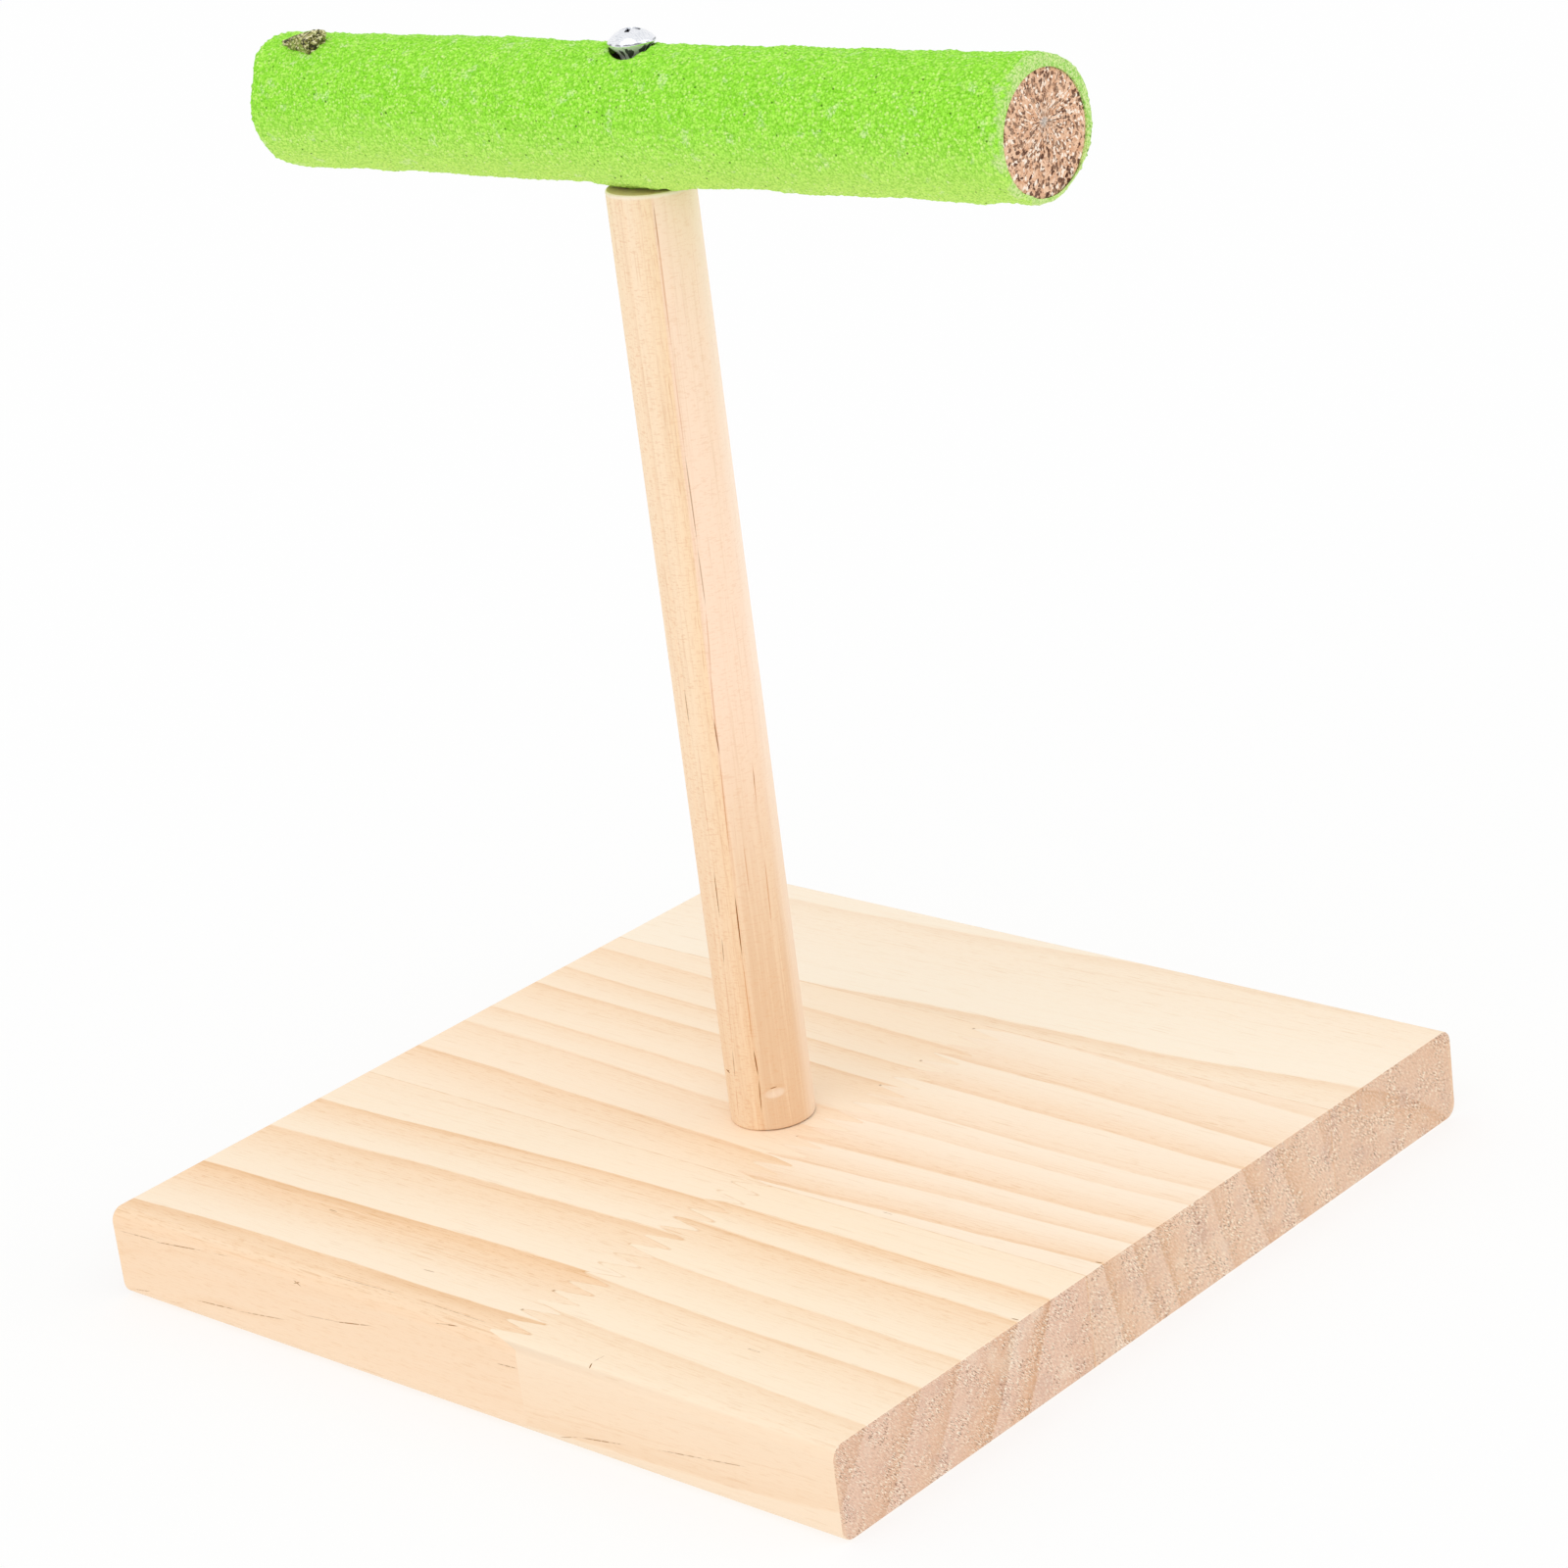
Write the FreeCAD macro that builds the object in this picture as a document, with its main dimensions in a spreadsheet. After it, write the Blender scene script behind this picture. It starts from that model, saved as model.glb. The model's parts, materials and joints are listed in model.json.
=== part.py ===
import FreeCAD, Part
import os
import Sketcher

# A table-top bird perch: a finger-jointed pine board, a dowel post on it and a sand-coated perch bar on top,
# held by two wood screws. Millimetres, +Z up, origin at the centre of the board's underside, +X along the
# board's grain. The perch's rest position is turned a few degrees from the grain, as it can be on its screw.

SIZES = {
    # Board, its three staves and the round-over of its two long edges
    "board_length": 200.0,
    "board_width": 200.0,
    "board_thickness": 20.0,
    "edge_round": 3.0,
    "front_stave_width": 75.0,
    "middle_stave_width": 81.0,
    # Finger joints: where each stave's joint is centred along the grain, and the fingers' form
    "front_joint_place": 15.0,
    "middle_joint_place": 12.7,
    "finger_length": 8.5,
    "finger_pitch": 4.4,
    "finger_tip": 0.6,
    # Post, and its place on the board
    "post_diameter": 18.0,
    "post_height": 200.0,
    "post_chamfer": 0.5,
    "post_offset_x": -3.5,
    "post_offset_y": 1.4,
    # Perch: a round branch in a coat of sand, screwed on a little off its middle and turned on the post
    "core_diameter": 24.0,
    "core_chamfer": 0.4,
    "coat_thickness": 2.0,
    "coat_end_round": 0.8,
    "perch_length": 184.0,
    "perch_shift": 1.6,
    "perch_turn": 5.0,
    "seat_depth": 0.4,
    "seat_margin": 0.5,
    # Stub of a trimmed side twig, which shows through the coat near the left end
    "twig_length": 12.0,
    "twig_width": 8.0,
    "twig_from_end": 9.2,
    "twig_lean": 22.0,
    "twig_stand": 1.5,
    # Wood screws: raised head on the perch, flat head under the board
    "screw_diameter": 5.0,
    "thread_root_diameter": 3.6,
    "screw_point_length": 5.0,
    "perch_screw_length": 60.0,
    "base_screw_length": 50.0,
    "head_diameter": 9.5,
    "head_rim": 0.4,
    "head_rise": 2.4,
    "head_recess": 0.6,
    "recess_span": 4.8,
    "recess_width": 1.0,
    "recess_depth": 1.8,
    # Fits
    "bore_clearance": 0.1,
    "head_clearance": 0.1,
    "pilot_clearance": 0.02,
    "pilot_spare_depth": 2.0,
    "thread_lead": 2.0,
    "coat_clearance": 0.02,
    "coat_opening_gap": 1.75,
}

doc = FreeCAD.newDocument("bird_perch_stand")
sheet = doc.addObject("Spreadsheet::Sheet", "Size")
for row, (name, size) in enumerate(SIZES.items(), start=1):
    sheet.set(f"A{row}", name)
    sheet.set(f"B{row}", str(size))
    sheet.setAlias(f"B{row}", name)
doc.recompute()

# Places and sizes that follow from the driving dimensions
LEFT_END = "(-Size.board_length / 2)"
RIGHT_END = "(Size.board_length / 2)"
FRONT_EDGE = "(-Size.board_width / 2)"
FRONT_GLUE_LINE = f"({FRONT_EDGE} + Size.front_stave_width)"
BACK_GLUE_LINE = f"({FRONT_GLUE_LINE} + Size.middle_stave_width)"
BACK_EDGE = "(Size.board_width / 2)"
POST_TOP = "(Size.board_thickness + Size.post_height)"
PERCH_RADIUS = "(Size.core_diameter / 2 + Size.coat_thickness)"
SEAT_DROP = f"({PERCH_RADIUS} - Size.seat_depth)"
PERCH_AXIS_HEIGHT = f"({POST_TOP} + {SEAT_DROP})"
SHANK_RADIUS = "(Size.screw_diameter / 2)"
ROOT_RADIUS = "(Size.thread_root_diameter / 2)"
PILOT_RADIUS = f"({ROOT_RADIUS} + Size.pilot_clearance)"
BORE_RADIUS = f"({SHANK_RADIUS} + Size.bore_clearance)"
HEAD_RADIUS = "(Size.head_diameter / 2)"
COUNTERSINK_RADIUS = f"({HEAD_RADIUS} + Size.head_clearance)"
HEAD_DEPTH = f"(Size.head_rim + {HEAD_RADIUS} - {SHANK_RADIUS})"
PERCH_HEAD_HEIGHT = f"({PERCH_AXIS_HEIGHT} + Size.core_diameter / 2 + Size.head_clearance + {HEAD_DEPTH})"
BASE_SHANK_LENGTH = "(Size.board_thickness - Size.head_recess - Size.thread_lead)"
PERCH_SHANK_LENGTH = f"({PERCH_HEAD_HEIGHT} - {POST_TOP} - Size.thread_lead)"
FOOT_REACH = "(Size.head_recess + Size.base_screw_length - Size.board_thickness)"
FOOT_PILOT_DEPTH = f"({FOOT_REACH} + Size.pilot_spare_depth)"
TOP_REACH = f"({POST_TOP} - {PERCH_HEAD_HEIGHT} + Size.perch_screw_length)"
TOP_PILOT_DEPTH = f"({TOP_REACH} + Size.pilot_spare_depth)"
TWIG_PLACE = "(Size.perch_shift - Size.perch_length / 2 + Size.twig_from_end)"
TWIG_HEIGHT = f"({PERCH_RADIUS} + Size.twig_stand)"

TOUCHING = 1e-6


def number(expression):
    """The value that an expression on the sheet has now."""
    return float(sheet.evalExpression(expression))


def new_body(label):
    body = doc.addObject("PartDesign::Body", label)
    body.Label = label
    return body


def new_sketch(body, name, plane, x="0", y="0", z="0", lean=None):
    """A sketch on one of the body's origin planes, moved and leaned about its own X by expressions."""
    sketch = body.newObject("Sketcher::SketchObject", name)
    support = next(feature for feature in body.Origin.OriginFeatures if feature.Role == plane)
    sketch.AttachmentSupport = (support, "")
    sketch.MapMode = "FlatFace"
    if lean:
        turn = FreeCAD.Rotation(FreeCAD.Vector(1, 0, 0), number(lean))
        sketch.AttachmentOffset = FreeCAD.Placement(FreeCAD.Vector(), turn)
        sketch.setExpression("AttachmentOffset.Rotation.Angle", lean)
    for axis, expression in (("x", x), ("y", y), ("z", z)):
        sketch.setExpression(f"AttachmentOffset.Base.{axis}", expression)
    return sketch


def bind_constraint(sketch, kind, *target, expression):
    """Adds a dimension to a sketch and binds it to the sheet."""
    constraint = sketch.addConstraint(Sketcher.Constraint(kind, *target, number(expression)))
    sketch.setExpression(f"Constraints[{constraint}]", expression)


def hold_point(sketch, edge, point, x, y):
    """Holds a point of an edge at two expressions, measured from the sketch's origin."""
    bind_constraint(sketch, "DistanceX", -1, 1, edge, point, expression=x)
    bind_constraint(sketch, "DistanceY", -1, 1, edge, point, expression=y)


def add_outline(sketch, corners):
    """A closed outline of straight edges through corners, each a pair of expressions."""
    points = [FreeCAD.Vector(number(x), number(y), 0) for x, y in corners]
    following = points[1:] + points[:1]
    edges = [sketch.addGeometry(Part.LineSegment(a, b), False) for a, b in zip(points, following)]
    for edge, after in zip(edges, edges[1:] + edges[:1]):
        sketch.addConstraint(Sketcher.Constraint("Coincident", edge, 2, after, 1))
    for edge, (x, y) in zip(edges, corners):
        hold_point(sketch, edge, 1, x, y)


def add_circle(sketch, radius):
    """A circle about the sketch's origin."""
    circle = Part.Circle(FreeCAD.Vector(), FreeCAD.Vector(0, 0, 1), number(radius))
    edge = sketch.addGeometry(circle, False)
    sketch.addConstraint(Sketcher.Constraint("Coincident", edge, 3, -1, 1))
    bind_constraint(sketch, "Radius", edge, expression=radius)


def add_ellipse(sketch, long_radius, short_radius):
    """An ellipse about the sketch's origin, its long axis on the sketch's X."""
    long_end = FreeCAD.Vector(number(long_radius), 0, 0)
    short_end = FreeCAD.Vector(0, number(short_radius), 0)
    edge = sketch.addGeometry(Part.Ellipse(long_end, short_end, FreeCAD.Vector()), False)
    long_axis = sketch.addGeometry(Part.LineSegment(-long_end, long_end), True)
    short_axis = sketch.addGeometry(Part.LineSegment(-short_end, short_end), True)
    sketch.addConstraint(Sketcher.Constraint("InternalAlignment:EllipseMajorDiameter", long_axis, edge))
    sketch.addConstraint(Sketcher.Constraint("InternalAlignment:EllipseMinorDiameter", short_axis, edge))
    sketch.addConstraint(Sketcher.Constraint("Coincident", edge, 3, -1, 1))
    sketch.addConstraint(Sketcher.Constraint("Horizontal", long_axis))
    bind_constraint(sketch, "Distance", long_axis, expression=f"2 * {long_radius}")
    bind_constraint(sketch, "Distance", short_axis, expression=f"2 * {short_radius}")


def add_pad(body, name, sketch, length, symmetric=False):
    pad = body.newObject("PartDesign::Pad", name)
    pad.Profile = sketch
    pad.setExpression("Length", length)
    if symmetric:
        pad.SideType = "Symmetric"
    doc.recompute()
    return pad


def cut_through(body, name, sketch, upward=True):
    """Cuts a sketch right through the solid on one side of its plane, and makes sure that it met it."""
    before = body.Shape.Volume
    pocket = body.newObject("PartDesign::Pocket", name)
    pocket.Profile = sketch
    pocket.Type = "ThroughAll"
    pocket.Reversed = upward
    doc.recompute()
    if body.Shape.Volume > before - TOUCHING:
        raise RuntimeError(f"{body.Label}: {name} cuts nothing")
    return pocket


def turn_profile(body, kind, name, sketch):
    """Turns a half profile round the sketch's vertical axis, as a Revolution or as a Groove."""
    feature = body.newObject(f"PartDesign::{kind}", name)
    feature.Profile = sketch
    feature.ReferenceAxis = (sketch, ["V_Axis"])
    feature.Angle = 360
    doc.recompute()
    return feature


def dress_edges(body, kind, name, base, property_name, size, wanted):
    """Rounds or chamfers the base's edges that the wanted test picks."""
    names = [f"Edge{index}" for index, edge in enumerate(base.Shape.Edges, start=1) if wanted(edge)]
    feature = body.newObject(f"PartDesign::{kind}", name)
    feature.Base = (base, names)
    feature.setExpression(property_name, size)
    doc.recompute()
    return feature


def place(body, x, y, z, turn_axis=FreeCAD.Vector(0, 0, 1), turn="0"):
    """Puts a body at three expressions, turned about one axis by a fourth."""
    body.Placement = FreeCAD.Placement(FreeCAD.Vector(), FreeCAD.Rotation(turn_axis, number(turn)))
    for path, expression in (("Base.x", x), ("Base.y", y), ("Base.z", z)):
        body.setExpression(f"Placement.{path}", expression)
    if number(turn):
        body.setExpression("Placement.Rotation.Angle", turn)


# Board blocks: each is drawn along the grain from its cross-section, its free long edges are rounded over,
# and the fingers are milled into its joined end. The joint is a zigzag: a stave's left block has a half
# finger at each edge of the stave, and its right block fills the gaps between.
def add_block(label, near_edge, far_edge, left_end, right_end, free_edge=None):
    body = new_body(label)
    section = new_sketch(body, f"{label}_section", "YZ_Plane", z=left_end)
    add_outline(section, [
        (near_edge, "0"),
        (far_edge, "0"),
        (far_edge, "Size.board_thickness"),
        (near_edge, "Size.board_thickness"),
    ])
    stock = add_pad(body, f"{label}_stock", section, f"{right_end} - {left_end}")
    if free_edge:
        free_y = number(free_edge)

        def along_free_edge(edge):
            on_face = all(abs(vertex.Y - free_y) < TOUCHING for vertex in edge.Vertexes)
            return on_face and abs(edge.tangentAt(edge.FirstParameter).x) > 0.5

        dress_edges(body, "Fillet", f"{label}_round", stock, "Radius", "Size.edge_round", along_free_edge)
    return body


def mill_sockets(body, root, tip, first, pitch, count):
    """Mills the row of tapered sockets that the mating block's fingers fill, from root to tip."""
    half_root = f"({pitch} - Size.finger_tip) / 2"
    half_tip = "Size.finger_tip / 2"
    sketch = new_sketch(body, f"{body.Label}_socket_form", "XY_Plane")
    add_outline(sketch, [
        (root, f"{first} - {half_root}"),
        (tip, f"{first} - {half_tip}"),
        (tip, f"{first} + {half_tip}"),
        (root, f"{first} + {half_root}"),
    ])
    socket = cut_through(body, f"{body.Label}_socket", sketch)
    row_of_sockets = body.newObject("PartDesign::LinearPattern", f"{body.Label}_sockets")
    row_of_sockets.Originals = [socket]
    row_of_sockets.Direction = (sketch, ["V_Axis"])
    row_of_sockets.Mode = "Spacing"
    row_of_sockets.setExpression("Offset", pitch)
    row_of_sockets.setExpression("Occurrences", count)
    body.Tip = row_of_sockets
    doc.recompute()


def drill_for_base_screw(body):
    """Drills the clearance hole of the base screw, countersunk from below, where it meets this block."""
    form = f"{body.Label}_hole_form"
    profile = new_sketch(body, form, "XZ_Plane", x="Size.post_offset_x", z="-Size.post_offset_y")
    cone_start = "(Size.head_recess + Size.head_rim)"
    add_outline(profile, [
        ("0", "0"),
        (COUNTERSINK_RADIUS, "0"),
        (COUNTERSINK_RADIUS, cone_start),
        (BORE_RADIUS, f"{cone_start} + {COUNTERSINK_RADIUS} - {BORE_RADIUS}"),
        (BORE_RADIUS, "Size.board_thickness"),
        ("0", "Size.board_thickness"),
    ])
    turn_profile(body, "Groove", f"{body.Label}_hole", profile)


def add_jointed_stave(name, near_edge, far_edge, width, joint, free_edge=None):
    """A stave of two blocks, joined end to end by fingers."""
    finger_start = f"({joint} - Size.finger_length / 2)"
    finger_end = f"({joint} + Size.finger_length / 2)"
    count = f"round({width} / Size.finger_pitch)"
    pitch = f"({width} / {count})"
    left = add_block(f"{name}_left_block", near_edge, far_edge, LEFT_END, finger_end, free_edge)
    mill_sockets(left, finger_end, finger_start, f"{near_edge} + {pitch} / 2", pitch, count)
    right = add_block(f"{name}_right_block", near_edge, far_edge, finger_start, RIGHT_END, free_edge)
    mill_sockets(right, finger_start, finger_end, near_edge, pitch, f"{count} + 1")
    return [left, right]


board = []
board += add_jointed_stave(
    "front", FRONT_EDGE, FRONT_GLUE_LINE, "Size.front_stave_width", "Size.front_joint_place", FRONT_EDGE)
board += add_jointed_stave(
    "middle", FRONT_GLUE_LINE, BACK_GLUE_LINE, "Size.middle_stave_width", "Size.middle_joint_place")
board.append(add_block("back_stave", BACK_GLUE_LINE, BACK_EDGE, LEFT_END, RIGHT_END, BACK_EDGE))
for block in board:
    drill_for_base_screw(block)


# Post: a plain dowel with its arrises broken and a pilot hole in each end
def add_post():
    body = new_body("post")
    profile = new_sketch(body, "post_profile", "XZ_Plane")
    radius = "(Size.post_diameter / 2)"
    add_outline(profile, [
        (PILOT_RADIUS, "0"),
        (f"{radius} - Size.post_chamfer", "0"),
        (radius, "Size.post_chamfer"),
        (radius, "Size.post_height - Size.post_chamfer"),
        (f"{radius} - Size.post_chamfer", "Size.post_height"),
        (PILOT_RADIUS, "Size.post_height"),
        (PILOT_RADIUS, f"Size.post_height - {TOP_PILOT_DEPTH}"),
        ("0", f"Size.post_height - {TOP_PILOT_DEPTH} - {PILOT_RADIUS}"),
        ("0", f"{FOOT_PILOT_DEPTH} + {PILOT_RADIUS}"),
        (PILOT_RADIUS, FOOT_PILOT_DEPTH),
    ])
    turn_profile(body, "Revolution", "post_turned", profile)
    place(body, "Size.post_offset_x", "Size.post_offset_y", "Size.board_thickness")
    return body


# Perch core: a round branch, drilled across for the screw, with the stub of a side twig that was trimmed off
def draw_twig(body, name, clearance="0"):
    sketch = new_sketch(body, name, "XY_Plane", x=TWIG_PLACE, lean="Size.twig_lean")
    add_ellipse(sketch, f"(Size.twig_length / 2 + {clearance})", f"(Size.twig_width / 2 + {clearance})")
    return sketch


def place_perch(body):
    place(body, "Size.post_offset_x", "Size.post_offset_y", PERCH_AXIS_HEIGHT, turn="Size.perch_turn")


def add_perch_core():
    body = new_body("perch_core")
    section = new_sketch(body, "core_section", "YZ_Plane", z="Size.perch_shift")
    add_circle(section, "(Size.core_diameter / 2)")
    branch = add_pad(body, "branch", section, "Size.perch_length", symmetric=True)
    dress_edges(body, "Chamfer", "sawn_ends", branch, "Size", "Size.core_chamfer",
                lambda edge: edge.isClosed())
    twig = draw_twig(body, "twig_section")
    add_pad(body, "twig_stub", twig, TWIG_HEIGHT)
    bore = new_sketch(body, "core_bore_form", "XY_Plane", z=f"-{PERCH_RADIUS}")
    add_circle(bore, BORE_RADIUS)
    cut_through(body, "core_bore", bore)
    place_perch(body)
    return body


# Grit coat: a sleeve of glued sand, open at both ends, with rounded outer ends. It is broken out round the
# screw head, open where the twig stub shows, and crushed to a flat where the perch sits on the post.
def add_grit_coat():
    body = new_body("grit_coat")
    section = new_sketch(body, "coat_section", "YZ_Plane", z="Size.perch_shift")
    add_circle(section, PERCH_RADIUS)
    add_circle(section, "(Size.core_diameter / 2 + Size.coat_clearance)")
    sleeve = add_pad(body, "sleeve", section, "Size.perch_length", symmetric=True)
    outer = number(PERCH_RADIUS)
    dress_edges(body, "Fillet", "soft_ends", sleeve, "Radius", "Size.coat_end_round",
                lambda edge: edge.isClosed() and abs(edge.Curve.Radius - outer) < TOUCHING)
    opening = new_sketch(body, "head_opening_form", "XY_Plane")
    add_circle(opening, f"({HEAD_RADIUS} + Size.coat_opening_gap)")
    cut_through(body, "head_opening", opening)
    bore = new_sketch(body, "coat_bore_form", "XY_Plane")
    add_circle(bore, BORE_RADIUS)
    cut_through(body, "coat_bore", bore, upward=False)
    seat = new_sketch(body, "seat_form", "XY_Plane", z=f"-{SEAT_DROP}")
    add_circle(seat, "(Size.post_diameter / 2 + Size.seat_margin)")
    cut_through(body, "seat", seat, upward=False)
    twig = draw_twig(body, "twig_opening_form", clearance="Size.coat_clearance")
    cut_through(body, "twig_opening", twig)
    place_perch(body)
    return body


# Wood screws: drawn point down from the face of the rim, with a smooth shank, a thread at its root diameter,
# a cone point and a cross recess. The shank ends short of the post, where the thread takes hold. The one on
# the perch has a raised head.
def add_screw(label, length, shank_length, raised):
    body = new_body(label)
    profile = new_sketch(body, f"{label}_profile", "XZ_Plane")
    thread_start = f"({shank_length} + {SHANK_RADIUS} - {ROOT_RADIUS})"
    add_outline(profile, [
        ("0", "0"),
        (HEAD_RADIUS, "0"),
        (HEAD_RADIUS, "-Size.head_rim"),
        (SHANK_RADIUS, f"-{HEAD_DEPTH}"),
        (SHANK_RADIUS, f"-{shank_length}"),
        (ROOT_RADIUS, f"-{thread_start}"),
        (ROOT_RADIUS, f"Size.screw_point_length - {length}"),
        ("0", f"-{length}"),
    ])
    turn_profile(body, "Revolution", f"{label}_turned", profile)
    face = "0"
    if raised:
        face = "Size.head_rise"
        add_raised_head(body, label)
    arm = new_sketch(body, f"{label}_recess_form", "XY_Plane", z=f"{face} - Size.recess_depth")
    half_span = "(Size.recess_span / 2)"
    half_width = "(Size.recess_width / 2)"
    add_outline(arm, [
        (f"-{half_span}", f"-{half_width}"),
        (half_span, f"-{half_width}"),
        (half_span, half_width),
        (f"-{half_span}", half_width),
    ])
    slot = cut_through(body, f"{label}_recess_arm", arm)
    cross = body.newObject("PartDesign::PolarPattern", f"{label}_recess")
    cross.Originals = [slot]
    cross.Axis = (arm, ["N_Axis"])
    cross.Angle = 180
    cross.Occurrences = 3
    body.Tip = cross
    doc.recompute()
    return body


def add_raised_head(body, label):
    """Turns the head's low dome, a cap of a sphere that meets the rim's face."""
    dome = new_sketch(body, f"{label}_dome_form", "XZ_Plane")
    rim = FreeCAD.Vector(number(HEAD_RADIUS), 0, 0)
    crown = FreeCAD.Vector(0, number("Size.head_rise"), 0)
    sphere_radius = f"(({HEAD_RADIUS} ^ 2 + Size.head_rise ^ 2) / (2 * Size.head_rise))"
    centre = FreeCAD.Vector(0, crown.y - number(sphere_radius), 0)
    sphere = Part.Circle(centre, FreeCAD.Vector(0, 0, 1), number(sphere_radius))
    cap = dome.addGeometry(Part.ArcOfCircle(sphere, sphere.parameter(rim), sphere.parameter(crown)), False)
    axis = dome.addGeometry(Part.LineSegment(crown, FreeCAD.Vector()), False)
    base = dome.addGeometry(Part.LineSegment(FreeCAD.Vector(), rim), False)
    dome.addConstraint(Sketcher.Constraint("Coincident", cap, 2, axis, 1))
    dome.addConstraint(Sketcher.Constraint("Coincident", axis, 2, base, 1))
    dome.addConstraint(Sketcher.Constraint("Coincident", base, 2, cap, 1))
    dome.addConstraint(Sketcher.Constraint("Coincident", axis, 2, -1, 1))
    dome.addConstraint(Sketcher.Constraint("Vertical", axis))
    dome.addConstraint(Sketcher.Constraint("Horizontal", base))
    dome.addConstraint(Sketcher.Constraint("PointOnObject", cap, 3, -2))
    bind_constraint(dome, "Distance", axis, expression="Size.head_rise")
    bind_constraint(dome, "Distance", base, expression=HEAD_RADIUS)
    turn_profile(body, "Revolution", f"{label}_dome", dome)


post = add_post()
perch_core = add_perch_core()
grit_coat = add_grit_coat()
perch_screw = add_screw("perch_screw", "Size.perch_screw_length", PERCH_SHANK_LENGTH, raised=True)
place(perch_screw, "Size.post_offset_x", "Size.post_offset_y", PERCH_HEAD_HEIGHT)
base_screw = add_screw("base_screw", "Size.base_screw_length", BASE_SHANK_LENGTH, raised=False)
turn_over = FreeCAD.Vector(1, 0, 0)
place(base_screw, "Size.post_offset_x", "Size.post_offset_y", "Size.head_recess", turn_over, "180")

pieces = board + [post, perch_core, grit_coat, perch_screw, base_screw]
doc.recompute()
failed = [item.Name for item in doc.Objects if "Invalid" in item.State or "Error" in item.State]
if failed:
    raise RuntimeError(f"not rebuilt: {failed}")
for piece in pieces:
    shape = piece.Shape
    if shape.isNull() or not shape.isValid() or len(shape.Solids) != 1:
        raise RuntimeError(f"{piece.Label} is not one valid solid")

os.makedirs("parts", exist_ok=True)
for piece in pieces:
    piece.Shape.exportStep(f"parts/{piece.Label}.step")
    print(f"{piece.Label}: {piece.Shape.Volume / 1000:.2f} cm3")
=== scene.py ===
import json
import math

import bmesh
import bpy
from mathutils import Matrix, Vector, noise


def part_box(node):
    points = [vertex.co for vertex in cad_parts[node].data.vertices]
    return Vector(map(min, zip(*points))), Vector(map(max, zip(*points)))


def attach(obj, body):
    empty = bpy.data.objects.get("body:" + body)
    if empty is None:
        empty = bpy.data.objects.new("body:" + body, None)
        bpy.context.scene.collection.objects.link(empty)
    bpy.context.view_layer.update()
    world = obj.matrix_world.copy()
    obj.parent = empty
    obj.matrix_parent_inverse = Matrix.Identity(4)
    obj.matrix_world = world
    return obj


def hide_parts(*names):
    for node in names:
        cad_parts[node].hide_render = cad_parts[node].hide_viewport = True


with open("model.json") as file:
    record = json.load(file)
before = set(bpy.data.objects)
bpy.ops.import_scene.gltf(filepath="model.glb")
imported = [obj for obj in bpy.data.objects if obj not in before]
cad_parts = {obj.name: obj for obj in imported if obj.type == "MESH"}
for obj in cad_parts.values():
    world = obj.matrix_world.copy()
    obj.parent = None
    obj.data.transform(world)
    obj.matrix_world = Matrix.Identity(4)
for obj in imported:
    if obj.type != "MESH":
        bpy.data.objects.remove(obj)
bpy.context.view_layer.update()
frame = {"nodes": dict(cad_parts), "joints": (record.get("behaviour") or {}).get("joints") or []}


# The board is five blocks of fast-grown pine in three staves. Two staves are each two blocks, joined end to
# end by milled fingers. The staves are glued edge to edge, planed, rounded over along the grain and sawn to
# length.
MM = 0.001
board_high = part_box("back_stave")[1] / MM
EDGE_ZONE = 1.0
FINGER_PITCH = 4.4
FINGER_TIP = 0.6
RING_BREAK = 0.3
SIDE_PAINTED_SHADE = 0.3
MARK_WIDTH = 0.15
PLANED_RELIEF = 0.03
SAWN_RELIEF = 0.15
SAWN_ARRIS = 0.35
WELD = 0.002


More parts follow.
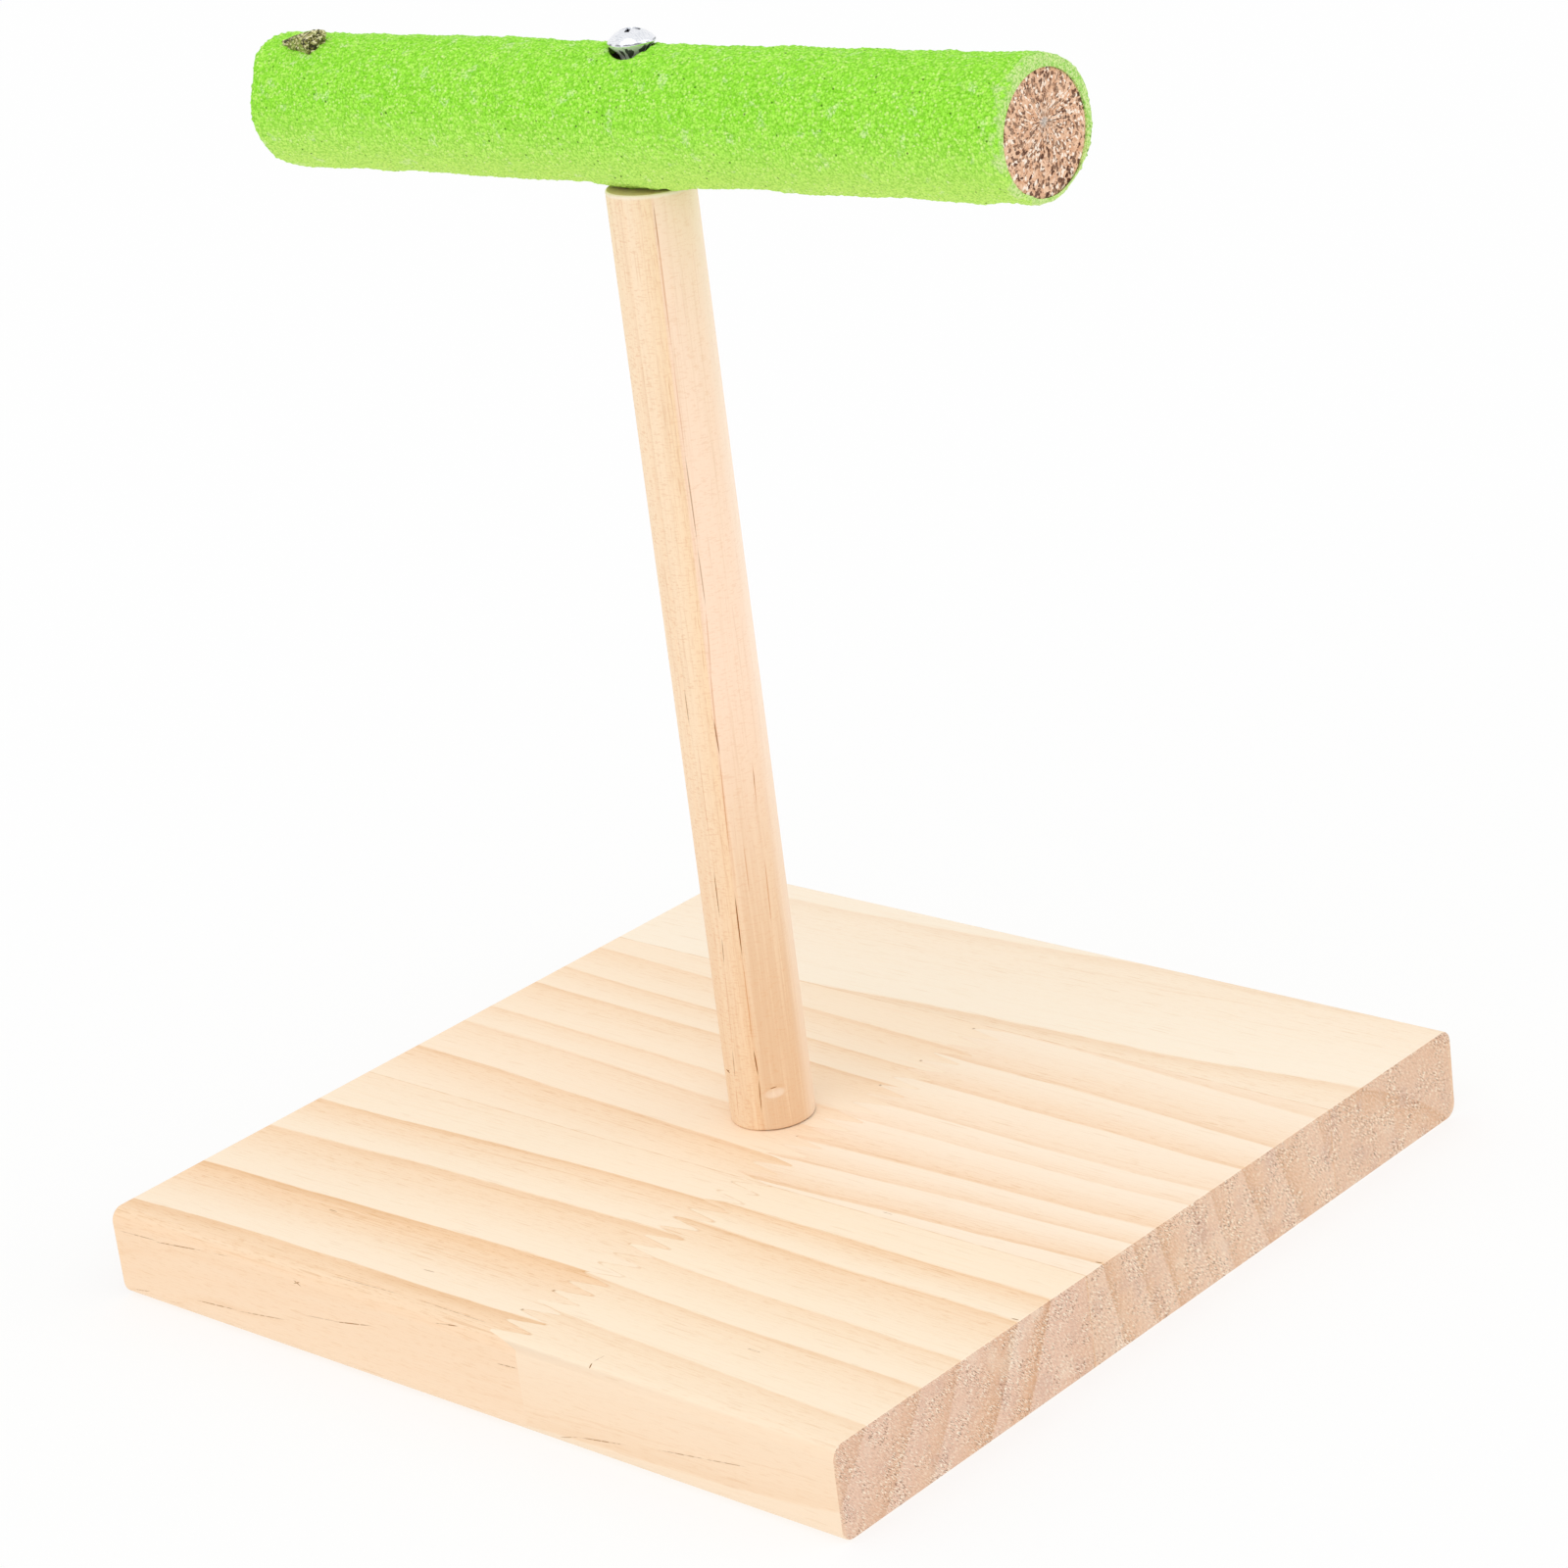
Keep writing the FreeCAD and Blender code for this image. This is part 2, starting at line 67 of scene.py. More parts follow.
class Shade:
    """A socket of a material's nodes. Arithmetic on shades adds the Math nodes that work it out."""

    def __init__(self, socket):
        self.socket = socket

    def make(self, kind, settings=None, sockets=None, output=0):
        """Adds any node to the same material and gives one of its outputs."""
        tree = self.socket.id_data
        node = tree.nodes.new(kind)
        for name, setting in (settings or {}).items():
            if name == "stops":
                elements = node.color_ramp.elements
                elements.remove(elements[1])
                elements[0].position, elements[0].color = setting[0]
                for position, colour in setting[1:]:
                    elements.new(position).color = colour
            else:
                setattr(node, name, setting)
        for name, value in (sockets or {}).items():
            if isinstance(value, Shade):
                tree.links.new(value.socket, node.inputs[name])
            else:
                node.inputs[name].default_value = value
        return Shade(node.outputs[output])

    def math(self, operation, *others):
        return self.make("ShaderNodeMath", {"operation": operation}, dict(enumerate((self, *others))))

    def __add__(self, other):
        return self.math("ADD", other)

    def __sub__(self, other):
        return self.math("SUBTRACT", other)

    def __rsub__(self, other):
        return self.make("ShaderNodeMath", {"operation": "SUBTRACT"}, {0: other, 1: self})

    def __mul__(self, other):
        return self.math("MULTIPLY", other)

    def __truediv__(self, other):
        return self.math("DIVIDE", other)

    def __pow__(self, other):
        return self.math("POWER", other)

    __radd__ = __add__
    __rmul__ = __mul__

    def size(self):
        """The same without its sign."""
        return self.math("ABSOLUTE")

    def step(self, low, high, curve="SMOOTHSTEP"):
        """0 at low, 1 at high, and no less or more beyond them."""
        return self.make("ShaderNodeMapRange", {"interpolation_type": curve},
                         {"Value": self, "From Min": low, "From Max": high})

    def axes(self):
        node = self.make("ShaderNodeSeparateXYZ", sockets={"Vector": self}).socket.node
        return [Shade(output) for output in node.outputs]

    def vector(self, operation, other=(0, 0, 0), output=0):
        return self.make("ShaderNodeVectorMath", {"operation": operation}, {0: self, 1: other}, output)

    def mapped(self, scale=(1, 1, 1), turn=(0, 0, 0), shift=(0, 0, 0)):
        return self.make("ShaderNodeMapping", sockets={
            "Vector": self, "Scale": scale, "Rotation": turn, "Location": shift})

    def noise(self, scale, detail=2.0, roughness=0.5):
        return self.make("ShaderNodeTexNoise", sockets={
            "Vector": self, "Scale": scale, "Detail": detail, "Roughness": roughness})

    def cells(self, scale):
        """How far a place is from the middle of its cell, and three random numbers for that cell."""
        distance = self.make("ShaderNodeTexVoronoi", sockets={"Vector": self, "Scale": scale})
        return distance, Shade(distance.socket.node.outputs["Color"]).axes()

    def mixed(self, first, second):
        """A colour between two, with this shade as the second one's share."""
        return self.make("ShaderNodeMix", {"data_type": "RGBA"}, {0: self, 6: first, 7: second}, output=2)

    def bumped(self, depth):
        """The surface's normal with this shade as its relief, so many metres deep."""
        return self.make("ShaderNodeBump", sockets={"Height": self, "Distance": depth})


def tone(red, green, blue):
    """A colour as it looks on a screen, from 0 to 255, as the linear one that a shader takes."""
    def linear(level):
        share = level / 255
        return share / 12.92 if share <= 0.04045 else ((share + 0.055) / 1.055) ** 2.4
    return (linear(red), linear(green), linear(blue), 1.0)


def new_finish(name, **constants):
    """A material, its shader node, and the place on the piece in millimetres. Constants go on sockets."""
    material = bpy.data.materials.new(name)
    material.use_nodes = True
    nodes = material.node_tree.nodes
    shader = nodes["Principled BSDF"]
    for socket, value in constants.items():
        shader.inputs[socket.replace("_", " ")].default_value = value
    place = Shade(nodes.new("ShaderNodeTexCoord").outputs["Object"])
    return material, shader, place.mapped(scale=(1 / MM, 1 / MM, 1 / MM))


def dress(shader, **shades):
    """Links shades to the shader's sockets."""
    for socket, shade in shades.items():
        shader.id_data.links.new(shade.socket, shader.inputs[socket.replace("_", " ")])


def growth_rings(grain, pith, drift, spread, middle, edges, wander=6.0):
    """How far through its growth ring each place is, from 0 to 1, the strength of that ring, and hairlines
    that follow the rings. The grain runs along X. Edges are the rings' outer edges as radius: strength,
    about a pith that drifts across the grain."""
    along, side, height = grain.axes()
    sway = grain.mapped(scale=(0.008, 0.02, 0.02)).noise(1.0) - 0.5
    feather = grain.mapped(scale=(0.03, 1, 1)).noise(2.5, 3) - 0.5
    across = (side - middle) * (1 + along * spread) + (middle - pith[0]) - along * drift
    rise = height - pith[1]
    radius = (across * across + rise * rise) ** 0.5 + sway * wander + feather * 0.7
    rings = sorted(edges.items())
    first = rings[0][0]
    span = rings[-1][0] - first
    stops = []
    for (inner, _), (outer, strength) in zip(rings, rings[1:]):
        stops.append(((inner - first + RING_BREAK) / span, (0, strength, 0, 1)))
        stops.append(((outer - first) / span, (1, strength, 0, 1)))
    ramp = radius.make("ShaderNodeValToRGB", {"stops": stops}, {"Fac": (radius - first) / span})
    phase, strength, _ = ramp.axes()
    on_ring = grain.make("ShaderNodeCombineXYZ", sockets={0: along * 0.011, 1: radius * 1.5})
    return phase, strength, on_ring.noise(1.0, 3, 0.7)


def planed_wood(grain, rings, pale, late, line):
    """The colour and the relief of wood planed along its grain: bands of latewood that end in a line,
    hairlines, fibres, short flecks, and the dark dashes of resin canals."""
    phase, strength, hairs = rings
    fibres = grain.mapped(scale=(0.015, 1, 1)).noise(3.2, 4, 0.65)
    canals = grain.mapped(scale=(0.06, 1, 1)).noise(1.7, 0).step(0.74, 0.8)
    patches = grain.mapped(scale=(0.02, 0.07, 0.07)).noise(1.0).step(0.32, 0.62)
    flecks = grain.mapped(scale=(0.1, 1, 1)).noise(2.6, 3, 0.75)
    band = phase.step(0.0, 1.15) * strength * (0.35 + hairs * 0.9 + flecks * 0.4)
    edge = phase.step(0.84, 1.0) * strength * (0.3 + patches * 0.7)
    colour = band.mixed(pale, late)
    colour = (edge * (0.1 + fibres * 0.75)).mixed(colour, line)
    colour = (hairs.step(0.56, 0.7) * (0.08 + band * 0.35)).mixed(colour, line)
    colour = (fibres.step(0.5, 0.74) * 0.26).mixed(colour, late)
    colour = (flecks.step(0.52, 0.66) * (0.05 + band * 0.5)).mixed(colour, line)
    colour = (canals * (0.15 + band * 0.35)).mixed(colour, line)
    relief = fibres * 0.6 + band * 0.4 - canals * 0.5
    return colour, relief


def dash(place, start, end, width):
    """1 on a thin mark that runs between two places, and 0 away from it."""
    run = Vector(end) - Vector(start)
    own_place = place.make("ShaderNodeMapping", {"vector_type": "TEXTURE"}, {
        "Vector": place,
        "Location": Vector(start) + run / 2,
        "Rotation": run.to_track_quat("X", "Z").to_euler(),
        "Scale": (run.length / 2, width, width)})
    return 1 - own_place.vector("LENGTH", output=1).step(0.6, 1.0)


def finger_seam(place, left, right, glue, open_tips):
    """The glue line of a stave's finger joint, and the small voids at the share of its tips left open."""
    x, y, _ = place.axes()
    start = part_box(right)[0].x / MM
    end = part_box(left)[1].x / MM
    near, far = (corner.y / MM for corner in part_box(left))
    pitch = (far - near) / round((far - near) / FINGER_PITCH)
    flank = pitch / 2 - FINGER_TIP
    off_tip = (0.5 - ((y - near) / pitch).math("PINGPONG", 0.5)) * pitch
    reach = off_tip.step(FINGER_TIP / 2, FINGER_TIP / 2 + flank, "LINEAR")
    off_line = (x - (start + reach * (end - start))).size()
    line = 1 - (off_line / math.hypot(1, (end - start) / flank)).step(0.04, 0.16)
    on_top = 1 - y.size().step(board_high.y - 4, board_high.y - 2)
    void = (1 - (x - start).size().step(0.15, 0.4)) * (1 - off_tip.step(0.2, 0.4))
    chance = place.noise(0.23, 0).step(0.75 - open_tips, 0.78 - open_tips)
    return line * on_top * place.noise(0.35).step(0.35, 0.6) * glue, void * on_top * chance


def pine_finish(name, block, end_grain):
    """Bare pine on a block's planed faces, or on its sawn ends."""
    material, shader, place = new_finish(name, Specular_IOR_Level=0.25)
    low, high = (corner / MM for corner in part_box(block["node"]))
    middle = (low.y + high.y) / 2
    edges = {math.hypot(ring - block["pith"][0], board_high.z - block["pith"][1]): strength
             for ring, strength in block["rings"].items()}
    rings = growth_rings(place, block["pith"], block["drift"], block["spread"], middle, edges)
    if end_grain:
        phase, strength, _ = rings
        saw_marks = place.mapped(turn=(SAW_LEAN, 0, 0)).mapped(scale=(1.4, 0.5, 2.6))
        pores = saw_marks.noise(1.6, 2, 0.75)
        fuzz = saw_marks.mapped(shift=(5, 9, 3)).noise(1.6, 2, 0.75)
        torn = place.mapped(shift=(0, 0, 30)).noise(0.16, 2).step(0.4, 0.62)
        smear = place.noise(0.09, 2)
        bruised = place.mapped(shift=(0, 40, 0)).noise(0.13, 2)
        band = phase.step(0.1, 1.05) * strength
        colour = (band * 0.75).mixed(block["end"], END_LATE)
        colour = (phase.step(0.75, 1.0) * strength * 0.25).mixed(colour, END_LINE)
        colour = (bruised.step(0.5, 0.75) * 0.5).mixed(colour, END_DULL)
        colour = (smear.step(0.55, 0.8) * 0.4).mixed(colour, END_PALE)
        colour = (pores.step(0.53, 0.61) * (0.2 + torn * 0.55)).mixed(colour, END_PORE)
        colour = (fuzz.step(0.53, 0.61) * (0.4 + torn * 0.5)).mixed(colour, END_PALE)
        relief = pores * -0.7 + fuzz * 0.6
        depth = SAWN_RELIEF * MM
    else:
        colour, relief = planed_wood(place, rings, block["pale"], block["late"], PINE_LINE)
        broken = 0.5 + place.mapped(scale=(0.5, 1, 1)).noise(1.3, 1).step(0.4, 0.52) * 0.85
        for start, end, share in block.get("marks", ()):
            colour = (dash(place, start, end, MARK_WIDTH) * broken * share).mixed(colour, PINE_KNOT)
        depth = PLANED_RELIEF * MM
    _, y, _ = place.axes()
    # Painted shade: the board's sides are tinted towards the latewood tone, darker than its top.
    on_side = y.size().step(board_high.y - 1.5, board_high.y - 0.5)
    colour = (on_side * SIDE_PAINTED_SHADE).mixed(colour, block["late"])
    for glue_line in (low.y, high.y):
        if abs(glue_line) < board_high.y - EDGE_ZONE:
            glue = 1 - (y - glue_line).size().step(0.05, 0.22)
            colour = (glue * place.noise(0.2).step(0.25, 0.7) * 0.55).mixed(colour, PINE_LINE)
    if "joint" in block:
        seam, void = finger_seam(place, *block["joint"])
        colour = seam.mixed(colour, PINE_LINE)
        colour = (void * 0.5).mixed(colour, PINE_KNOT)
    roughness = 0.5 + place.mapped(scale=(0.05, 1, 1)).noise(0.8) * 0.2
    dress(shader, Base_Color=colour, Roughness=roughness, Normal=relief.bumped(depth))
    return material


def add_piece(name, form, finishes, body, node=None, smooth=35):
    """Makes a bmesh in the frame's coordinates a piece that rides on a body, and stands for a node."""
    mesh = bpy.data.meshes.new(name)
    form.to_mesh(mesh)
    form.free()
    for finish in finishes:
        mesh.materials.append(finish)
    mesh.shade_smooth()
    mesh.set_sharp_from_angle(angle=math.radians(smooth))
    piece = bpy.data.objects.new(name, mesh)
    bpy.context.scene.collection.objects.link(piece)
    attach(piece, body)
    if node:
        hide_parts(node)
    return piece


def saw_block(node):
    """A block as it was milled, with the arrises of its sawn end just broken and its end grain marked."""
    form = bmesh.new()
    form.from_mesh(frame["nodes"][node].data)
    bmesh.ops.remove_doubles(form, verts=form.verts, dist=WELD * MM)
    bmesh.ops.dissolve_limit(form, angle_limit=math.radians(1), verts=form.verts, edges=form.edges)

    def sawn(face):
        at_end = abs(face.calc_center_median().x) > (board_high.x - EDGE_ZONE) * MM
        return at_end and abs(face.normal.x) > 0.9

    arrises = []
    for edge in form.edges:
        if len({sawn(face) for face in edge.link_faces}) == 2:
            middle = (edge.verts[0].co + edge.verts[1].co) / 2
            on_glue_line = abs(edge.verts[0].co.y - edge.verts[1].co.y) < MM * 0.01
            if not on_glue_line or abs(middle.y) > (board_high.y - EDGE_ZONE) * MM:
                arrises.append(edge)
    bmesh.ops.bevel(form, geom=arrises, offset=SAWN_ARRIS * MM, segments=2, profile=0.5, affect="EDGES",
                    material=-1)
    for face in form.faces:
        face.material_index = int(sawn(face))
    return form


PINE_LINE = tone(222, 172, 118)
PINE_KNOT = tone(140, 88, 0)
SAW_LEAN = math.radians(45)
END_LATE = tone(222, 170, 124)
END_LINE = tone(166, 112, 80)
END_DULL = tone(206, 168, 150)
END_PORE = tone(112, 70, 48)
END_PALE = tone(255, 242, 220)
FRONT_JOINT = ("front_left_block", "front_right_block", 0.4, 0.12)
MIDDLE_JOINT = ("middle_left_block", "middle_right_block", 0.12, 0.02)
pine_blocks = [
    {"node": "front_left_block", "joint": FRONT_JOINT, "pith": (-235, -25), "drift": 0.036, "spread": 0.0,
     "rings": {-118: 0.6, -91: 0.8, -71: 1.0, -51: 0.7, -36: 0.75, -14: 0.5},
     "pale": tone(254, 235, 211), "late": tone(249, 209, 168), "end": tone(233, 196, 170),
     "marks": [
         ((-99, -100, 15.6), (-85, -100, 16.3), 0.5),
         ((-88, -100, 15.7), (-70, -100, 17.7), 0.7),
         ((-70, -100, 17.6), (-56, -99.8, 18.8), 0.7),
         ((-49, -98.9, 19.6), (-37, -98.4, 19.8), 0.8),
         ((-44.6, -100, 18.1), (-41.5, -100, 16.8), 0.9),
         ((-41.5, -100, 17.9), (-44, -100, 17.0), 0.8),
         ((-99, -100, 1.8), (-91, -100, 3.1), 0.6),
         ((-94, -100, 1.2), (-80, -100, 2.8), 0.4),
         ((-77, -100, 4.8), (-63, -100, 5.9), 0.7),
         ((-64, -100, 5.6), (-48, -100, 7.6), 0.55),
         ((-43, -100, 10.2), (-32, -100, 11.4), 0.3),
         ((-34, -100, 11.0), (-21.5, -100, 13.2), 0.75),
         ((-9, -99.8, 17.7), (6, -99, 19.6), 0.75),
         ((13, -100, 14.2), (19.8, -100, 14.7), 0.6),
         ((-37, -97.7, 20), (-13, -96.2, 20), 0.3),
         ((-13, -96.2, 20), (11, -96.4, 20), 0.3),
         ((-57.5, -77, 20), (-54.5, -77, 20), 0.5),
         ((-20, -86.5, 20), (-16, -86.2, 20), 0.4)]},
    {"node": "front_right_block", "joint": FRONT_JOINT, "pith": (-218, 105), "drift": -0.033,
     "spread": -0.0009,
     "rings": {-125: 0.3, -102: 0.25, -84.5: 0.4, -70.5: 0.5, -59: 0.5, -43.5: 0.75, -34: 0.85, -14: 0.4},
     "pale": tone(254, 235, 210), "late": tone(249, 211, 172), "end": tone(231, 193, 168),
     "marks": [
         ((25, -100, 1.2), (34, -100, 3.8), 0.5),
         ((33, -100, 3.6), (47, -100, 5.7), 0.7),
         ((54, -100, 6.9), (68, -100, 8.7), 0.6),
         ((66, -100, 8.4), (78, -100, 10.0), 0.5),
         ((38.3, -99.4, 19.2), (38.0, -97.6, 20), 0.95),
         ((38.0, -97.6, 20), (38.3, -94.4, 20), 0.3),
         ((60.5, -79, 20), (64.5, -79, 20), 0.5),
         ((97.7, -45.4, 20), (99.8, -45.2, 20), 0.9)]},
    {"node": "middle_left_block", "joint": MIDDLE_JOINT, "pith": (-156, 74), "drift": -0.04, "spread": 0.0,
     "rings": {-46: 0.5, -30: 0.5, -14: 0.7, 0: 0.4, 9: 0.45, 24: 0.55, 33.5: 0.5, 45.5: 0.5, 64: 0.4},
     "pale": tone(254, 233, 208), "late": tone(249, 210, 170), "end": tone(231, 196, 172)},
    {"node": "middle_right_block", "joint": MIDDLE_JOINT, "pith": (188, 69), "drift": 0.0, "spread": 0.0014,
     "rings": {-42: 0.35, -25.5: 0.65, -14: 0.5, -5.5: 0.65, 7.5: 0.35, 15.5: 0.4, 27.5: 0.6, 39.5: 0.5,
               56: 0.35, 72: 0.35},
     "pale": tone(254, 235, 213), "late": tone(249, 210, 172), "end": tone(233, 197, 169),
     "marks": [((47, -23, 20), (50, -23, 20), 0.4), ((98.0, -19.7, 20), (99.8, -19.4, 20), 0.9)]},
    {"node": "back_stave", "pith": (0, -109), "drift": 0.06, "spread": 0.0006,
     "rings": {-20: 0.45, 20: 0.45, 61: 0.5, 95: 0.3, 130: 0.35},
     "pale": tone(254, 239, 219), "late": tone(251, 217, 181), "end": tone(229, 191, 162)},
]
for block in pine_blocks:
    node = block["node"]
    finishes = [pine_finish(f"{node}_planed", block, False), pine_finish(f"{node}_sawn", block, True)]
    name = node.replace("_block", "").replace("_stave", "") + "_pine"
    piece = add_piece(name, saw_block(node), finishes, "base", node)
    piece.modifiers.new("flat faces", "WEIGHTED_NORMAL").keep_sharp = True


# The base screw is a countersunk wood screw of bright zinc-plated steel. It is driven up from under the
# board into the post's foot, with its flat head sunk below the board's face.
SHANK_RADIUS = 2.5
ROOT_RADIUS = 1.8
HEAD_RIM = 0.4
HEAD_ARRIS = 0.1
RIM_BREAK = 0.08
THREAD_PITCH = 2.2
THREAD_FOOT = 0.42
THREAD_CREST = 0.06
THREAD_CLEAR = 0.02
THREAD_ROOTED = 0.15
THREAD_FADE = 3
THREAD_STEPS = 24
POINT_LENGTH = 5.0
RECESS_SPAN = 4.8
RECESS_WIDTH = 1.05
RECESS_DEPTH = 1.7
RECESS_TURN = math.radians(25)
FLOOR_SPAN = 0.5
FLOOR_WIDTH = 0.7
CUTTER_STAND = 0.4
SEAM_WELD = 0.001
SLIVER = 0.04


def turned(profile, steps, closed=False):
    """A form turned about Z from a half profile of radius and height pairs, in millimetres."""
    form = bmesh.new()
    points = [form.verts.new((radius * MM, 0, height * MM)) for radius, height in profile]
    following = points[1:] + points[:1] if closed else points[1:]
    outline = [form.edges.new(pair) for pair in zip(points, following)]
    bmesh.ops.spin(form, geom=points + outline, cent=(0, 0, 0), axis=(0, 0, 1), angle=math.tau, steps=steps,
                   use_merge=True)
    bmesh.ops.remove_doubles(form, verts=form.verts, dist=SEAM_WELD * MM)
    bmesh.ops.recalc_face_normals(form, faces=form.faces)
    return form


def arc(centre, radius, start, end, count):
    """Points of a profile on an arc between two angles in degrees."""
    angles = [math.radians(start + (end - start) * index / count) for index in range(count + 1)]
    return [(centre[0] + radius * math.cos(angle), centre[1] + radius * math.sin(angle))
            for angle in angles]


def cut_away(piece, *cutters):
    """Takes the cutters' forms out of a piece for good, and clears the slivers that the cuts leave."""
    for cutter in cutters:
        mesh = bpy.data.meshes.new("cutter")
        cutter.to_mesh(mesh)
        cutter.free()
        tool = bpy.data.objects.new("cutter", mesh)
        bpy.context.scene.collection.objects.link(tool)
        cut = piece.modifiers.new("cut", "BOOLEAN")
        cut.object = tool
        cut.solver = "EXACT"
        ready = piece.evaluated_get(bpy.context.evaluated_depsgraph_get())
        piece.data = bpy.data.meshes.new_from_object(ready)
        piece.modifiers.clear()
        bpy.data.objects.remove(tool)
    form = bmesh.new()
    form.from_mesh(piece.data)
    bmesh.ops.remove_doubles(form, verts=form.verts, dist=SLIVER * MM)
    bmesh.ops.triangulate(form, faces=[face for face in form.faces if len(face.verts) > 4])
    bmesh.ops.dissolve_degenerate(form, edges=form.edges, dist=SLIVER * MM)
    form.to_mesh(piece.data)
    form.free()


def recess_arm(top, depth, turn):
    """One arm of a cross recess: a slot with sides that draw in towards its floor."""
    form = bmesh.new()
    bmesh.ops.create_cube(form, size=1)
    for vert in form.verts:
        floor = vert.co.z < 0
        vert.co.x *= RECESS_SPAN * (FLOOR_SPAN if floor else 1.0) * MM
        vert.co.y *= RECESS_WIDTH * (FLOOR_WIDTH if floor else 1.0) * MM
        vert.co.z = (top - depth if floor else top + CUTTER_STAND) * MM
    bmesh.ops.rotate(form, verts=form.verts, cent=(0, 0, 0), matrix=Matrix.Rotation(turn, 3, "Z"))
    return form


def add_screw(name, node, place, head_radius, length, shank_length, rise, steps=64):
    """A wood screw, point down from the face of its rim, with a flat head or one that rises in a dome."""
    if rise:
        ball = (head_radius ** 2 + rise ** 2) / (2 * rise)
        half_angle = math.degrees(math.asin(head_radius / ball))
        top = arc((0, rise - ball), ball, 90, 90 - half_angle, 10)
    else:
        top = [(0, 0), (head_radius * 0.5, 0), (head_radius - HEAD_ARRIS, 0), (head_radius, -HEAD_ARRIS)]
    cone_end = HEAD_RIM + head_radius - SHANK_RADIUS
    thread_start = shank_length + SHANK_RADIUS - ROOT_RADIUS
    profile = top + [
        (head_radius, -HEAD_RIM + RIM_BREAK),
        (head_radius - RIM_BREAK, -HEAD_RIM - 0.05),
        (SHANK_RADIUS + 0.35, -cone_end + 0.3),
        (SHANK_RADIUS, -cone_end - 0.4),
        (SHANK_RADIUS, -shank_length),
        (ROOT_RADIUS, -thread_start),
        (ROOT_RADIUS, POINT_LENGTH - length),
        (0, -length),
    ]
    form = turned(profile, steps)
    crest = SHANK_RADIUS - THREAD_CLEAR
    inside = ROOT_RADIUS - THREAD_ROOTED
    start = thread_start + THREAD_PITCH / 2
    turns = (length - POINT_LENGTH * 0.4 - start) / THREAD_PITCH
    section = ((inside, THREAD_FOOT), (crest, THREAD_CREST), (crest, -THREAD_CREST), (inside, -THREAD_FOOT))
    ridge = [form.verts.new((radius * MM, 0, (height - start) * MM)) for radius, height in section]
    flanks = [form.edges.new((ridge[index], ridge[index + 1])) for index in range(-1, 3)]
    before = set(form.verts) - set(ridge)
    turn_steps = int(turns * THREAD_STEPS)
    drop = Vector((0, 0, -turns * THREAD_PITCH / turn_steps * MM))
    bmesh.ops.spin(form, geom=ridge + flanks, cent=(0, 0, 0), axis=(0, 0, 1), dvec=drop,
                   angle=math.tau * turns, steps=turn_steps)
    for vert in form.verts:
        if vert not in before:
            depth = -vert.co.z / MM
            taper = min(1, (depth - start + 0.5) / THREAD_FADE, (length - depth) / (POINT_LENGTH * 0.9))
            radius = vert.co.xy.length / MM
            wanted = max(0.05, inside * min(1, taper * 1.2) + (radius - inside) * max(0, taper))
            vert.co.xy *= wanted / radius
    ends = [edge for edge in form.edges if edge.is_boundary]
    bmesh.ops.holes_fill(form, edges=ends, sides=4)
    bmesh.ops.recalc_face_normals(form, faces=form.faces)
    bmesh.ops.transform(form, matrix=place, verts=form.verts)
    screw = add_piece(name, form, [steel], "upright", node, smooth=40)
    arms = []
    for turn in (RECESS_TURN, RECESS_TURN + math.pi / 2):
        arm = recess_arm(rise, rise / 2 + RECESS_DEPTH, turn)
        bmesh.ops.transform(arm, matrix=place, verts=arm.verts)
        arms.append(arm)
    cut_away(screw, *arms)
    return screw


HEAD_RISE = 2.4
THREAD_LEAD = 2.0
PLATE_BRIGHT = tone(246, 247, 250)
PLATE_DULL = tone(204, 208, 217)
NECK_PAINTED_HIGHLIGHT = tone(252, 252, 250)
NECK_PAINTED_DARK_REFLECTION = tone(60, 62, 54)
RIM_PAINTED_SHADE = tone(70, 72, 76)
RECESS_PAINTED_SHADE = tone(58, 60, 66)
PLATE_RELIEF = 0.01
rim_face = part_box("perch_screw")[1].z / MM - HEAD_RISE
foot_low, foot_high = (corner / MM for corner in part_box("base_screw"))
post_low, post_high = (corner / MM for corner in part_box("post"))
post_axis = (post_low + post_high) / 2
head_radius = (foot_high.x - foot_low.x) / 2

steel, steel_shader, steel_place = new_finish("zinc_plated_steel")
steel_x, steel_y, steel_z = steel_place.axes()
scuffs = steel_place.mapped(scale=(0.6, 4, 1)).noise(2.0, 4, 0.7)
plate = scuffs.step(0.35, 0.75).mixed(PLATE_BRIGHT, PLATE_DULL)
from_axis = (steel_x - post_axis.x, steel_y - post_axis.y)
off_axis = from_axis[0] ** 2 + from_axis[1] ** 2
dome = rim_face + HEAD_RISE - off_axis * (HEAD_RISE / head_radius ** 2)
bearing = from_axis[1].math("ARCTAN2", from_axis[0])
# Painted reflections: bright and dark streaks that change with the bearing round the screw's axis.
round_axis = steel_place.make("ShaderNodeCombineXYZ", sockets={0: bearing * 2.6, 1: steel_z * 0.35})
streaks = round_axis.noise(1.0, 2)
above_post = steel_z.step(post_high.z, post_high.z + 2)
# The neck under the head takes these painted reflections in place of its plating. It is made less metallic
# so that its white streaks show as painted highlights.
neck = (1 - steel_z.step(rim_face - 0.45, rim_face - 0.3)) * above_post
# Painted shade: a dark line along the head's rim, broken by the streaks.
rim = (1 - (steel_z - rim_face).size().step(0.08, 0.22)) * streaks.step(0.4, 0.6)
